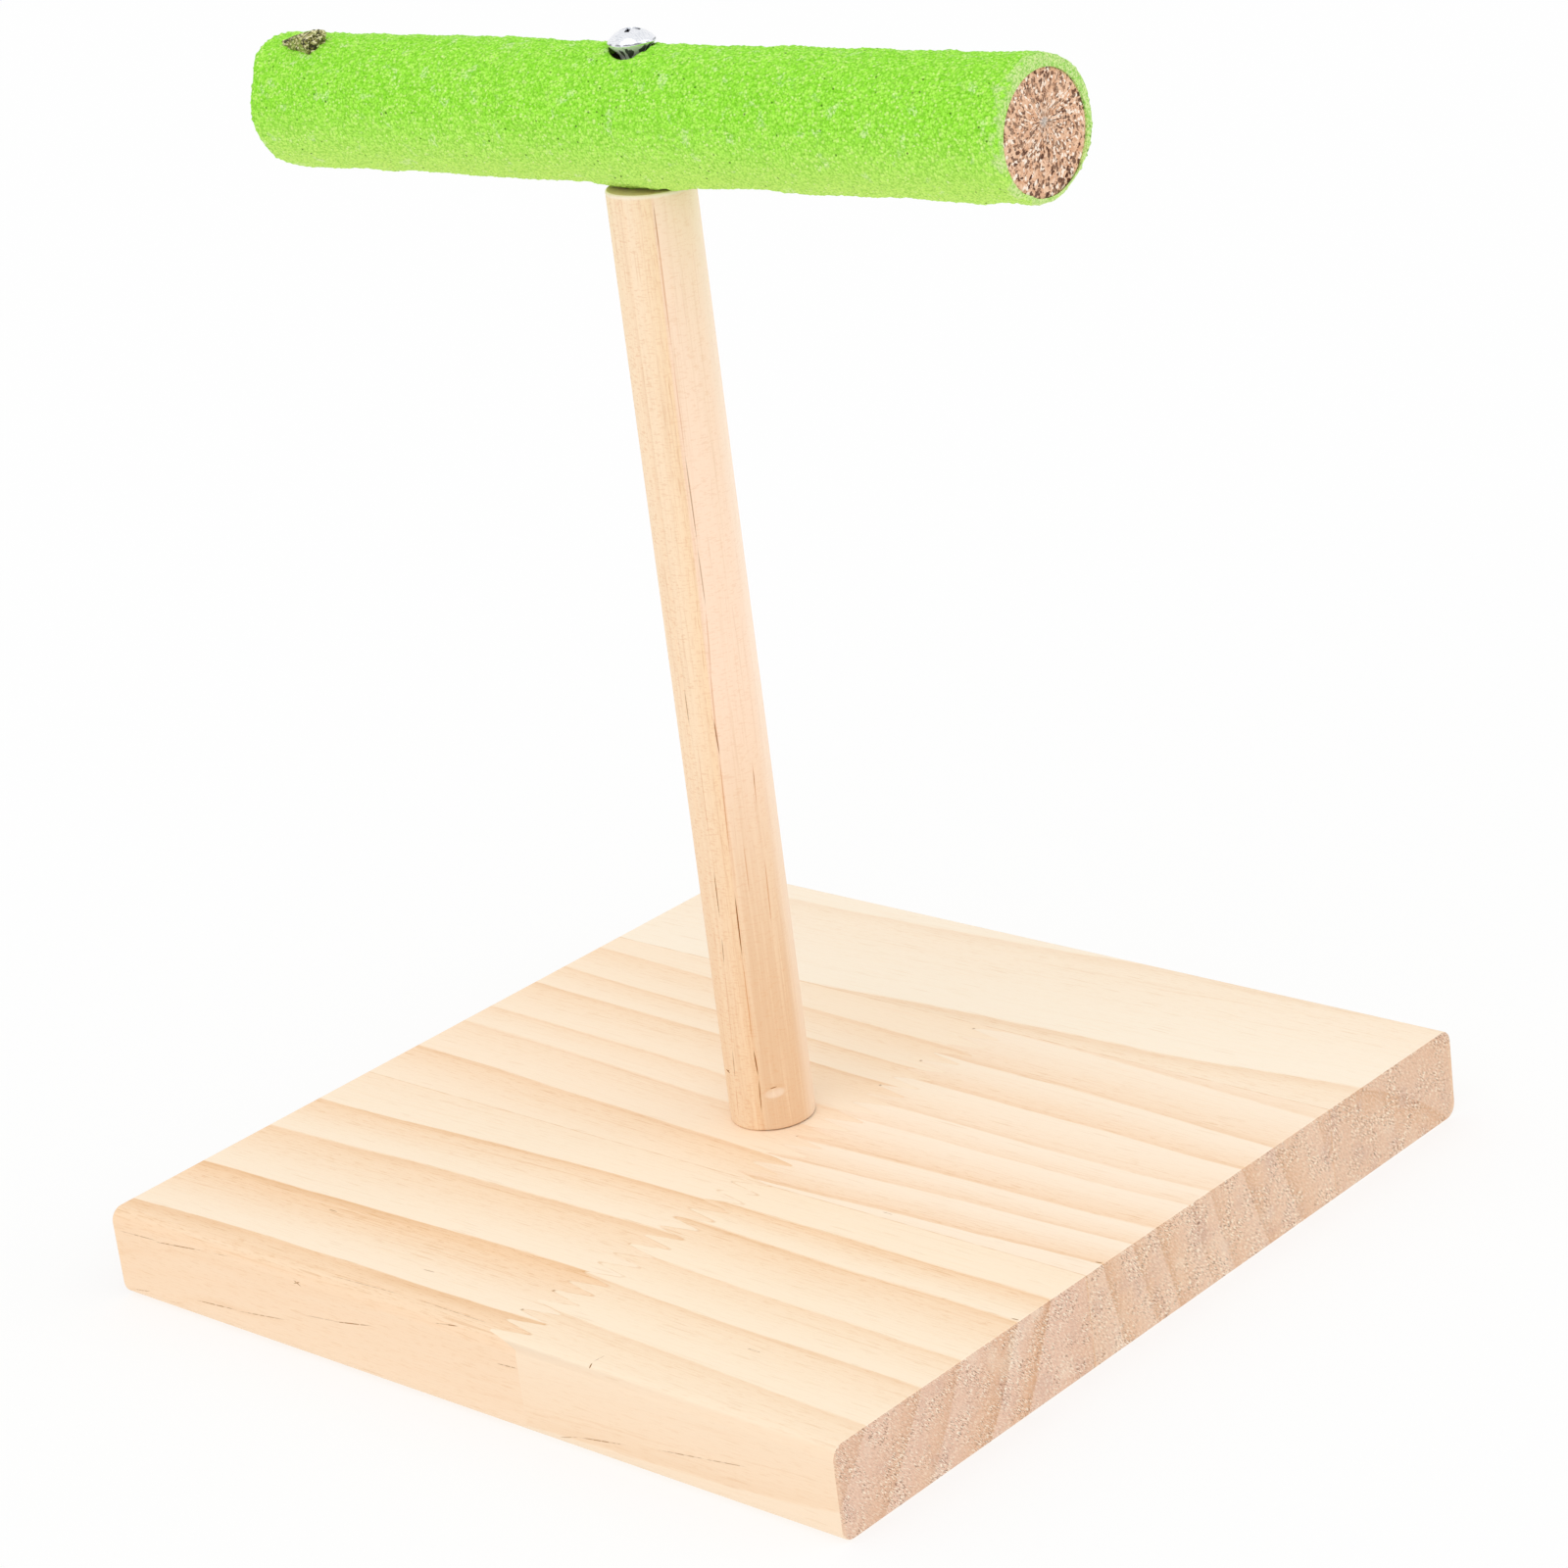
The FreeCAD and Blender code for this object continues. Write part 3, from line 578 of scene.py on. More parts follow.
# Painted shade: the cross recess, sunk below the dome, is darkened.
sunk = (dome - steel_z).step(0.15, 0.5) * steel_z.step(rim_face, rim_face + 0.3)
plate = (neck * 0.9).mixed(plate, streaks.step(0.42, 0.48).mixed(NECK_PAINTED_DARK_REFLECTION, NECK_PAINTED_HIGHLIGHT))
plate = (rim * 0.75).mixed(plate, RIM_PAINTED_SHADE)
dress(steel_shader,
      Base_Color=(sunk * 0.9).mixed(plate, RECESS_PAINTED_SHADE),
      Metallic=1 - neck * 0.7,
      Roughness=0.1 + scuffs * 0.14,
      Normal=scuffs.bumped(PLATE_RELIEF * MM))

base_place = (Matrix.Translation((post_axis.x * MM, post_axis.y * MM, foot_low.z * MM))
              @ Matrix.Rotation(math.pi, 4, "X"))
add_screw("countersunk_screw", "base_screw", base_place, head_radius, foot_high.z - foot_low.z,
          post_low.z - foot_low.z - THREAD_LEAD, 0)


# The post is a softwood dowel, moulded round and sanded along its length. Its ends are sawn and their
# arrises just broken. It stands on the board with a butt joint, and has a bruise and a few dark nicks near
# its foot.
post_radius = (post_high.x - post_low.x) / 2
post_height = post_high.z - post_low.z
POST_ARRIS = 0.5
POST_STEPS = 200
POST_SWELL = 0.06
FOOT_RINGS = 49
FOOT_RING_STEP = 0.5
UPPER_RINGS = 60
TOP_BAND = 2.0
FOOT_GAP = 0.55
FOOT_GAP_ANGLE = math.radians(15)
BRUISE_ANGLE = math.radians(-40)
BRUISE_HEIGHT = 8.8
BRUISE_REACH = 2.4
BRUISE_RISE = 0.8
BRUISE_DEPTH = 0.35
BRUISE_TILT = 0.22
BRUISE_BOW = 0.05

near_foot = [(post_radius, POST_ARRIS + index * FOOT_RING_STEP) for index in range(1, FOOT_RINGS + 1)]
foot_top = near_foot[-1][1]
upper_length = post_height - TOP_BAND - foot_top
above = [(post_radius, foot_top + upper_length * index / UPPER_RINGS)
         for index in range(1, UPPER_RINGS + 1)]
arris_foot = arc((post_radius - POST_ARRIS, POST_ARRIS), POST_ARRIS, -90, 0, 4)
arris_top = arc((post_radius - POST_ARRIS, post_height - POST_ARRIS), POST_ARRIS, 0, 90, 4)
post_form = turned([(0, 0), (post_radius / 2, 0)] + arris_foot + near_foot + above + arris_top
                   + [(post_radius / 2, post_height), (0, post_height)], POST_STEPS)
for vert in post_form.verts:
    angle = math.atan2(vert.co.y, vert.co.x)
    height = vert.co.z / MM
    out = vert.co.xy.length / MM
    if out > post_radius - POST_ARRIS * 1.01:
        swell = (noise.noise((angle * 1.3, height * 0.012, 3.0)) - 1) * POST_SWELL
        sideways = (angle - BRUISE_ANGLE) * post_radius
        upward = height - BRUISE_HEIGHT - sideways * BRUISE_TILT + sideways * sideways * BRUISE_BOW
        hollow = math.exp(-(sideways / BRUISE_REACH) ** 4 - (upward / BRUISE_RISE) ** 2) * BRUISE_DEPTH
        vert.co.xy *= 1 + (swell - hollow) / out
    if height < POST_ARRIS * 0.6 and out > 1:
        gap = max(0, math.cos(angle - FOOT_GAP_ANGLE)) * out / post_radius
        vert.co.z += gap * FOOT_GAP * MM
post_foot = Vector((post_axis.x, post_axis.y, post_low.z)) * MM
bmesh.ops.translate(post_form, verts=post_form.verts, vec=post_foot)


def dowel_finish(name, end_grain):
    """Sanded softwood with upright grain, and growth rings that lie at an angle to the board's grain."""
    material, shader, place = new_finish(name, Specular_IOR_Level=0.3)
    x, y, z = place.axes()
    east, north = math.cos(DOWEL_RINGS), math.sin(DOWEL_RINGS)
    across = (x - post_axis.x) * east + (y - post_axis.y) * north
    beside = (y - post_axis.y) * east - (x - post_axis.x) * north
    grain = place.make("ShaderNodeCombineXYZ", sockets={0: z, 1: across, 2: beside})
    edges = {edge - DOWEL_PITH: strength for edge, strength in DOWEL_EDGES.items()}
    rings = growth_rings(grain, (DOWEL_PITH, 0), DOWEL_DRIFT, 0.0, 0, edges, wander=1.0)
    colour, relief = planed_wood(grain, rings, DOWEL_PALE, DOWEL_LATE, DOWEL_LINE)
    if end_grain:
        pores = place.noise(2.4, 3, 0.7)
        colour = (0.45 + pores * 0.3).mixed(colour, DOWEL_END)
        depth = DOWEL_SAWN_RELIEF * MM
        relief = pores
    else:
        past_ring = across - z * DOWEL_DRIFT
        low = 1 - z.step(post_low.z + 25, post_low.z + 105)
        colour = (past_ring.step(-2.6, -2.1) * (1 - low) * 0.6).mixed(colour, DOWEL_ROSE)
        # Painted shade: the post turns tan towards its foot, more strongly past the ring line.
        colour = (low * (0.2 + past_ring.step(-3.2, -0.5) * 0.6)).mixed(colour, DOWEL_TAN)
        streaks = grain.mapped(scale=(0.02, 1, 1)).noise(1.3, 3, 0.65)
        colour = (streaks.step(0.5, 0.75) * 0.4).mixed(colour, DOWEL_TAN)
        colour = ((1 - streaks.step(0.34, 0.5)) * low * 0.35).mixed(colour, DOWEL_PALE)
        fuzz = grain.mapped(scale=(2.2, 0.6, 0.6)).noise(1.2, 2, 0.65)
        colour = (fuzz.step(0.52, 0.66) * (0.37 - across.step(-8, 1) * 0.16)).mixed(colour, DOWEL_FUZZ)
        # Painted highlight: the post's side turns paler along one edge, across the rings.
        colour = (across.step(6.5, 8.8) * 0.5).mixed(colour, DOWEL_HIGHLIGHT_AND_BRUISE)
        # Painted highlight: a pale band along the top arris.
        colour = (z.step(post_high.z - 1.1, post_high.z - 0.5) * 0.7).mixed(colour, DOWEL_HIGHLIGHT_AND_BRUISE)
        bruise = dash(place, on_post(-57, 8.2), on_post(-23, 8.7), 1.3)
        colour = (bruise * (0.2 + fuzz * 0.4)).mixed(colour, DOWEL_HIGHLIGHT_AND_BRUISE)
        for marks, stain in ((DOWEL_SPLITS, DOWEL_LINE), (DOWEL_NICKS, DOWEL_NICK)):
            for bearing, height, end_bearing, end_height, share in marks:
                mark = dash(place, on_post(bearing, height), on_post(end_bearing, end_height), SPLIT_WIDTH)
                colour = (mark * share).mixed(colour, stain)
        depth = PLANED_RELIEF * MM
        relief = relief + fuzz * 0.5
    dress(shader, Base_Color=colour, Normal=relief.bumped(depth),
          Roughness=0.5 + grain.mapped(scale=(0.05, 1, 1)).noise(1.0) * 0.16)
    return material


def on_post(degrees, height):
    """A place on the post's side, by its bearing and its height over the board."""
    angle = math.radians(degrees)
    return (post_axis.x + post_radius * math.cos(angle), post_axis.y + post_radius * math.sin(angle),
            post_low.z + height)


DOWEL_RINGS = math.radians(41)
DOWEL_PITH = -70
DOWEL_EDGES = {-15.5: 0.3, -7.5: 0.1, -1.3: 0.5, 6.5: 0.1, 13.0: 0.1}
DOWEL_DRIFT = 0.012
DOWEL_SAWN_RELIEF = 0.1
SPLIT_WIDTH = 0.18
DOWEL_PALE = tone(254, 229, 198)
DOWEL_LATE = tone(252, 212, 166)
DOWEL_ROSE = tone(255, 223, 203)
DOWEL_TAN = tone(231, 193, 156)
DOWEL_FUZZ = tone(228, 172, 122)
DOWEL_HIGHLIGHT_AND_BRUISE = tone(255, 239, 222)
DOWEL_LINE = tone(208, 132, 64)
DOWEL_END = tone(206, 172, 130)
DOWEL_NICK = tone(146, 86, 0)
DOWEL_SPLITS = [
    (-44.8, 200, -46, 165, 0.45),
    (-46, 170, -47, 145, 0.35),
    (-46.2, 117, -51, 100, 0.4),
    (-51, 104, -55, 86, 0.4),
    (-54, 86, -58, 60, 0.5),
    (-59, 42, -61, 17, 0.5),
    (-83, 90, -84.6, 60, 0.3),
    (-87.6, 40, -94, 16, 0.3),
    (-10.5, 83, -13, 70, 0.5),
    (-10.8, 62, -14, 44, 0.5),
    (-38, 66, -38.6, 52, 0.4),
    (-97, 11, -101, 1, 0.4),
]
DOWEL_NICKS = [
    (-45, 199, -45.4, 188, 0.37),
    (-47, 150, -46, 127, 0.55),
    (-46.8, 130, -46.2, 114, 0.49),
    (-92.6, 99, -92.6, 89.5, 0.61),
    (-55.2, 92.5, -53.5, 83.5, 0.79),
    (-10.5, 80, -12.5, 75, 0.37),
    (-83.9, 60, -84.7, 47, 0.79),
    (-85.6, 44.5, -88, 37, 0.61),
    (-58, 55, -59.5, 38, 0.98),
    (-94, 19, -97, 10.5, 0.49),
    (-61, 19.5, -58.8, 12, 0.98),
    (-58.8, 13, -61.2, 3.5, 0.79),
    (-120, 12.5, -106, 12.2, 0.98),
    (-117, 12.2, -108, 12.7, 0.98),
    (-48, 9.5, -33, 9.9, 0.98),
]
for face in post_form.faces:
    face.material_index = int(abs(face.normal.z) > 0.9)
add_piece("dowel_post", post_form, [dowel_finish("sanded_dowel", False), dowel_finish("dowel_end", True)],
          "upright", "post")


# The perch's core is a round branch, stripped of its bark and sawn to length, so its ends show rough end
# grain with pores and saw marks. It is drilled across for the screw, whose head presses a countersink into
# its top.
swivel = Vector(next(joint for joint in frame["joints"] if joint["name"] == "perch_swivel")["pos_m"])
coat_low, coat_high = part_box("grit_coat")
PERCH_TURN = math.radians(5)
coat_radius = (coat_high.z - coat_low.z) / 2 / MM
end_overhang = 2 * coat_radius * math.sin(PERCH_TURN)
bar_length = ((coat_high.x - coat_low.x) / MM - end_overhang) / math.cos(PERCH_TURN)
half_bar = bar_length / 2
bar_frame = Matrix.Translation((coat_low + coat_high) / 2) @ Matrix.Rotation(PERCH_TURN, 4, "Z")
screw_on_bar = (bar_frame.inverted() @ swivel).x / MM
COAT_THICKNESS = 2.0
core_radius = coat_radius - COAT_THICKNESS
BORE_RADIUS = 2.6
SINK_RADIUS = 4.6
SINK_DEPTH = 1.8
SINK_CLEAR = 0.2
CUT_CLEAR = 2.0
PITH_RISE = 2.2


def along_bar(form):
    """Lays a form turned about Z along the bar's X."""
    bmesh.ops.rotate(form, verts=form.verts, cent=(0, 0, 0), matrix=Matrix.Rotation(math.pi / 2, 3, "Y"))
    return form


def put_on_bar(form):
    """Takes a form from the bar's frame to the stand's."""
    bmesh.ops.transform(form, matrix=bar_frame, verts=form.verts)
    return form


def rod(radius, bottom, top, top_radius=None):
    """An upright rod on the screw's axis, in the bar's frame. It flares if its top has its own radius."""
    form = bmesh.new()
    middle = Matrix.Translation((screw_on_bar * MM, 0, (bottom + top) / 2 * MM))
    bmesh.ops.create_cone(form, cap_ends=True, segments=48, radius1=radius * MM,
                          radius2=(top_radius or radius) * MM, depth=(top - bottom) * MM, matrix=middle)
    return form


def slant_end(form):
    """Shears the bar's right end, which was sawn out of square, so that its far side stands out further."""
    for vert in form.verts:
        share = min(1, max(0, 1 + (vert.co.x / MM - half_bar) / SLANT_REACH))
        vert.co.x += vert.co.y * math.tan(END_SLANT) * share
    return form


END_SLANT = math.radians(5.4)
SLANT_REACH = 10.0
CORE_ARRIS = 0.4
CORE_STEPS = 120
CORE_END_RINGS = 24
SAWN_DEPTH = 0.22
SAW_MARK_DEPTH = 0.12
TORN_DEPTH = 0.16
end_rings = [(core_radius - CORE_ARRIS) * index / CORE_END_RINGS for index in range(CORE_END_RINGS + 1)]
core_profile = [(ring, -half_bar) for ring in end_rings]
core_profile += [(core_radius, -half_bar + CORE_ARRIS), (core_radius, half_bar - CORE_ARRIS)]
core_profile += [(ring, half_bar) for ring in reversed(end_rings)]
core_form = along_bar(turned(core_profile, CORE_STEPS))
for vert in core_form.verts:
    spot = vert.co / MM
    if abs(spot.x) > half_bar - CORE_ARRIS / 2:
        saw_mark = noise.noise((spot.y * 0.5 + spot.z * 0.9, spot.x, 7.0))
        torn = noise.noise((spot.y * 1.4, spot.z * 1.4, spot.x))
        sunk = SAWN_DEPTH + saw_mark * SAW_MARK_DEPTH + torn * TORN_DEPTH
        vert.co.x -= math.copysign(max(0.0, sunk), spot.x) * MM


def bar_place(place):
    """The place on the bar, with X along it and Z up, in millimetres."""
    shift = Matrix.Rotation(-PERCH_TURN, 3, "Z") @ bar_frame.translation / -MM
    return place.mapped(turn=(0, 0, -PERCH_TURN), shift=shift)


BRANCH_PALE = tone(244, 204, 172)
BRANCH_TAN = tone(224, 174, 138)
BRANCH_STAIN = tone(120, 62, 36)
BRANCH_FIBRE = tone(255, 242, 226)
BRANCH_PORE = tone(74, 30, 14)
BRANCH_PITH = tone(236, 232, 224)
SINK_PAINTED_SHADE = tone(56, 50, 26)
BRANCH_RELIEF = 0.4
branch, branch_shader, branch_place = new_finish("sawn_branch", Specular_IOR_Level=0.2)
on_bar = bar_place(branch_place)
bar_x, bar_y, bar_z = on_bar.axes()
above_pith = bar_z - PITH_RISE
from_pith = (bar_y * bar_y + above_pith * above_pith) ** 0.5
bearing = bar_y.math("ARCTAN2", above_pith)
rays = on_bar.noise(0.9, 2, 0.6)
strokes = on_bar.make("ShaderNodeCombineXYZ", sockets={
    0: from_pith * 1.2 + rays * 2, 1: bearing * 15 + rays * 2})
dash_distance, (dash_chance, dash_tone, _) = strokes.cells(1.0)
on_dash = 1 - dash_distance.step(0.4, 0.6)
crowded = on_bar.noise(0.16, 1).step(0.35, 0.6)
pores = on_dash * dash_chance.step(0.46, 0.5) * (0.4 + dash_tone * 0.3 + crowded * 0.3)
flecks = on_dash * (1 - dash_chance.step(0.26, 0.3))
branch_colour = rays.step(0.35, 0.65).mixed(BRANCH_PALE, BRANCH_TAN)
branch_colour = (on_bar.noise(2.0, 2, 0.7).step(0.55, 0.62) * 0.7).mixed(branch_colour, BRANCH_STAIN)
branch_colour = (flecks * 0.9).mixed(branch_colour, BRANCH_FIBRE)
branch_colour = pores.mixed(branch_colour, BRANCH_PORE)
branch_colour = ((1 - from_pith.step(0.4, 1.3)) * 0.6).mixed(branch_colour, BRANCH_PITH)
# Painted shade: the wood round the screw is darkened in the countersink.
off_screw = ((bar_x - screw_on_bar) ** 2 + bar_y * bar_y) ** 0.5
branch_colour = (1 - off_screw.step(5.5, 7)).mixed(branch_colour, SINK_PAINTED_SHADE)
dress(branch_shader, Base_Color=branch_colour, Roughness=0.7 + rays * 0.2,
      Normal=(rays * 0.5 - pores).bumped(BRANCH_RELIEF * MM))
slant_end(core_form)
core = add_piece("branch_core", put_on_bar(core_form), [branch], "perch", "perch_core",
                 smooth=50)
cut_away(core,
         put_on_bar(rod(BORE_RADIUS, -core_radius - CUT_CLEAR, core_radius + CUT_CLEAR)),
         put_on_bar(rod(BORE_RADIUS, core_radius - SINK_DEPTH, core_radius + SINK_CLEAR, SINK_RADIUS)))


# The twig's stub is what is left of a side twig of the branch that was trimmed off close. It is a rough,
# dark wedge that stands through the coat near the bar's left end, and it is dusted with green sand.
TWIG_FROM_END = 9.0
TWIG_LEAN = math.radians(21)
TWIG_LENGTH = 10.6
TWIG_WIDTH = 7.2
TWIG_STAND = 3.0
TWIG_DEPTH = 2.0
TWIG_BLUNT = 0.7
TWIG_RELIEF = 0.25
DUST_GREEN = tone(172, 200, 84)
twig_form = bmesh.new()
bmesh.ops.create_icosphere(twig_form, subdivisions=5, radius=1)
for vert in twig_form.verts:
    lump = 1 + 0.16 * noise.noise(vert.co * 2.1) + 0.1 * noise.noise(vert.co * 6.5)
    blunt = Vector([math.copysign(abs(reach) ** TWIG_BLUNT, reach) for reach in vert.co])
    thick = 0.6 + 0.4 * blunt.x
    rise = TWIG_STAND * thick if blunt.z > 0 else TWIG_DEPTH
    wedge = Vector((blunt.x * TWIG_LENGTH / 2, blunt.y * TWIG_WIDTH / 2 * thick, blunt.z * rise))
    vert.co = wedge * lump * MM
twig_seat = (Matrix.Translation(((TWIG_FROM_END - half_bar) * MM, 0, 0))
             @ Matrix.Rotation(TWIG_LEAN, 4, "X")
             @ Matrix.Translation((0, 0, coat_radius * MM)))
bmesh.ops.transform(twig_form, matrix=twig_seat, verts=twig_form.verts)
bark, bark_shader, bark_place = new_finish("twig_stub", Specular_IOR_Level=0.3)
speck_distance, (speck, _, _) = bark_place.cells(2.4)
bark_colour = speck.make("ShaderNodeValToRGB", {"stops": [
    (0.0, tone(30, 28, 12)),
    (0.35, tone(92, 88, 42)),
    (0.65, tone(160, 158, 86)),
    (0.9, tone(240, 234, 186)),
]}, {"Fac": speck})
bark_colour = (bark_place.noise(0.35).step(0.55, 0.8) * 0.6).mixed(bark_colour, DUST_GREEN)
dress(bark_shader, Base_Color=bark_colour, Roughness=0.55 + speck * 0.3,
      Normal=(1 - speck_distance).bumped(TWIG_RELIEF * MM))
add_piece("twig_stub", put_on_bar(twig_form), [bark], "perch", smooth=60)


# The coat is dyed sand bound with resin, rolled onto the branch, so it is a rough sleeve with rounded ends.
# It is crushed flat on the post, and broken out in a ragged crater where the screw was driven through it.
COAT_STEPS = 210
COAT_RINGS = 420
COAT_CLEARANCE = 0.03
COAT_LIFT = 0.5
THIN_BELOW = 0.7
END_ROUND = 0.9
END_LIP = 2.2
LIP_REACH = 5.0
KNOCK_PLACE = Vector((-half_bar, -2.0, 13.0))
KNOCK_RADIUS = 3.5
KNOCK_DEPTH = 0.4
CRATER_RADIUS = 4.9
CRATER_FRONT = 2.3
CRATER_BEARING = math.radians(-66)
CRATER_FLOOR = 0.25
CRATER_SLOPE = 0.42
NECK_RADIUS = 4.6
SEAT_RADIUS = 9.6
SEAT_CRUMBS = 1.8
seat_level = swivel.z / MM - bar_frame.translation.z / MM
inner = core_radius + COAT_CLEARANCE
outer_line = [(coat_radius, -half_bar + END_ROUND + (bar_length - 2 * END_ROUND) * index / COAT_RINGS)
              for index in range(1, COAT_RINGS)]
left_end = arc((coat_radius - END_ROUND, -half_bar + END_ROUND), END_ROUND, -90, 0, 5)
right_end = arc((coat_radius - END_ROUND, half_bar - END_ROUND), END_ROUND, 0, 90, 5)
coat_form = along_bar(turned(
    [(inner, -half_bar), (inner + 0.5, -half_bar)] + left_end + outer_line + right_end
    + [(inner + 0.5, half_bar), (inner, half_bar)], COAT_STEPS, closed=True))


def ease(share):
    """A smooth step from 0 to 1."""
    share = min(1, max(0, share))
    return share * share * (3 - 2 * share)


def crater_edge(angle):
    """The crater's radius round the screw: it is ragged, and torn wider towards the front."""
    ragged = noise.noise((math.cos(angle) * 1.7, math.sin(angle) * 1.7, 4.0)) * 0.5
    crumbs = noise.noise((math.cos(angle) * 6, math.sin(angle) * 6, 9.0)) * 0.3
    front = max(0, math.cos(angle - CRATER_BEARING)) ** 2
    return CRATER_RADIUS + CRATER_FRONT * front + ragged + crumbs


for vert in coat_form.verts:
    spot = vert.co / MM
    out = math.hypot(spot.y, spot.z)
    if out > inner + 0.2:
        swell = noise.noise(spot * 0.06) * 0.5 + noise.noise(spot * 0.21) * 0.34
        grains = 0.45 - noise.voronoi(spot * 0.75)[0][0]
        sand = noise.noise(spot * 1.9) * 0.1
        knock = math.exp(-((spot - KNOCK_PLACE).length / KNOCK_RADIUS) ** 2) * KNOCK_DEPTH
        to_screw = math.hypot(spot.x - screw_on_bar, spot.y)
        thinned = THIN_BELOW * ease((-spot.z - 4) / 8) * ease((to_screw - SEAT_RADIUS) / 4)
        relief = swell + grains * 0.5 + sand - 0.12 - knock - thinned
        at_end = ease((abs(spot.x) - half_bar + END_ROUND + 0.4) / END_ROUND)
        vert.co.x += math.copysign(at_end * (grains * 0.6 + sand * 2), spot.x) * MM
        near_left = ease((LIP_REACH - half_bar - spot.x) / LIP_REACH)
        vert.co.x -= END_LIP * near_left * ease((spot.z - 6) / 7) * MM
        if spot.z > 0:
            lip = crater_edge(math.atan2(spot.y, spot.x - screw_on_bar))
            dish = ease((1 - to_screw / lip) / CRATER_SLOPE)
            relief = relief * (1 - dish) - dish * (coat_radius - inner - CRATER_FLOOR)
        vert.co.yz *= 1 + relief * min(1, (out - inner) / 1.0) / out
        vert.co.z += COAT_LIFT * max(0, spot.x / half_bar) ** 2 * MM
        if spot.z < 0 and to_screw < SEAT_RADIUS:
            crumbs = max(0, noise.noise(spot * 0.7)) * SEAT_CRUMBS * ease((to_screw - 3) / 4)
            vert.co.z = max(vert.co.z, (seat_level + COAT_CLEARANCE + crumbs) * MM)
slant_end(coat_form)

SAND_DEEP = tone(140, 232, 36)
SAND_LIT = tone(216, 255, 128)
SAND_WORN = tone(224, 240, 172)
SAND_SCUFF = tone(234, 250, 196)
SAND_DARK = tone(96, 180, 16)
SAND_PALE = tone(208, 255, 122)
SAND_CREVICE_SHADE = tone(106, 192, 20)
SAND_QUARTZ = tone(236, 255, 176)
SAND_PIT = tone(40, 96, 0)
CRATER_GRIT_AND_SHADE = tone(110, 128, 40)
SAND_RELIEF = 0.3
grit, grit_shader, grit_place = new_finish("dyed_sand", Specular_IOR_Level=0.15)
on_bar = bar_place(grit_place)
bar_x, bar_y, bar_z = on_bar.axes()
grain_distance, (grain_tone, grain_chance, _) = on_bar.cells(1.9)
green = grain_tone.make("ShaderNodeValToRGB", {"stops": [
    (0.0, tone(148, 234, 50)),
    (0.5, tone(170, 249, 74)),
    (0.85, tone(194, 255, 102)),
    (1.0, tone(214, 255, 138)),
]}, {"Fac": grain_tone})
mottle = on_bar.noise(0.22, 3, 0.6)
green = (mottle.step(0.45, 0.75) * 0.3).mixed(green, SAND_DEEP)
# Painted light: the coat is paler on its lower half.
below = (bar_z * -1).step(-5, 12)
green = (below * 0.8).mixed(green, SAND_LIT)
sand_tone = on_bar.noise(2.0, 3, 0.8)
end_wear = bar_x + mottle * 9 + on_bar.noise(0.6, 3, 0.7) * 12
worn = end_wear.step(half_bar + 7, half_bar + 10) * (0.45 + sand_tone.step(0.42, 0.58) * 0.5)
green = worn.mixed(green, SAND_WORN)
scuff = on_bar.noise(0.28, 2).step(0.61, 0.7) * sand_tone.step(0.46, 0.54)
green = (scuff * 0.65).mixed(green, SAND_SCUFF)
# Painted light: the dark specks and crevices are fainter on the lower half.
shaded = 1 - below * 0.3
green = ((1 - sand_tone.step(0.36, 0.44)) * shaded * 0.65).mixed(green, SAND_DARK)
green = (sand_tone.step(0.56, 0.63) * 0.55).mixed(green, SAND_PALE)
# Painted shade: the crevices between the grains are darkened.
crevice_shade = grain_distance.step(0.42, 0.75)
green = (crevice_shade * shaded * 0.5).mixed(green, SAND_CREVICE_SHADE)
quartz = grain_chance.step(0.94, 0.95) * (1 - grain_distance.step(0.25, 0.5))
green = (quartz * 0.65).mixed(green, SAND_QUARTZ)
pit_distance, (pit_chance, _, _) = on_bar.cells(0.62)
pits = pit_chance.step(0.76, 0.78) * (1 - pit_distance.step(0.08, 0.2))
green = (pits * 0.8).mixed(green, SAND_PIT)
# Darker olive on the coat round the screw: partly crushed grit, partly painted shade in the crater.
off_screw = ((bar_x - screw_on_bar) ** 2 + bar_y * bar_y) ** 0.5
green = ((1 - off_screw.step(3.8, 5.4)) * bar_z.step(0, 2) * 0.6).mixed(green, CRATER_GRIT_AND_SHADE)
dress(grit_shader, Base_Color=green, Roughness=0.75 - quartz * 0.35,
      Normal=((1 - grain_distance) * 0.8 + on_bar.noise(3.2, 3, 0.7) * 0.4).bumped(SAND_RELIEF * MM))
coat = add_piece("sand_coat", put_on_bar(coat_form), [grit], "perch", "grit_coat", smooth=60)
cut_away(coat,
         put_on_bar(rod(NECK_RADIUS, 0, coat_radius + CUT_CLEAR)),
         put_on_bar(rod(BORE_RADIUS, -coat_radius - CUT_CLEAR, 0)))


# The perch screw is a raised-head wood screw of the same steel, driven down through the bar into the post's
# top. Its rim stands just above the coat's crown, and the bar turns on it.
head_low, head_high = (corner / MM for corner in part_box("perch_screw"))
top_place = Matrix.Translation((post_axis.x * MM, post_axis.y * MM, rim_face * MM))
add_screw("raised_screw", "perch_screw", top_place, (head_high.x - head_low.x) / 2, rim_face - head_low.z,
          rim_face - post_high.z - THREAD_LEAD, HEAD_RISE)


# The stand is shown on a plain white floor that runs out of view. A soft main light comes from the front
# above, and a weaker one from the right and behind. The camera is at the photograph's angle.
FLOOR_DROP = 0.2
FLOOR_REACH = 3000
FLOOR_CELLS = 30
floor_form = bmesh.new()
bmesh.ops.create_grid(floor_form, x_segments=FLOOR_CELLS, y_segments=FLOOR_CELLS, size=FLOOR_REACH * MM,
                      matrix=Matrix.Translation((0, 0, -FLOOR_DROP * MM)))
floor_mesh = bpy.data.meshes.new("floor")
floor_form.to_mesh(floor_mesh)
floor_form.free()
floor = bpy.data.objects.new("floor", floor_mesh)
bpy.context.scene.collection.objects.link(floor)

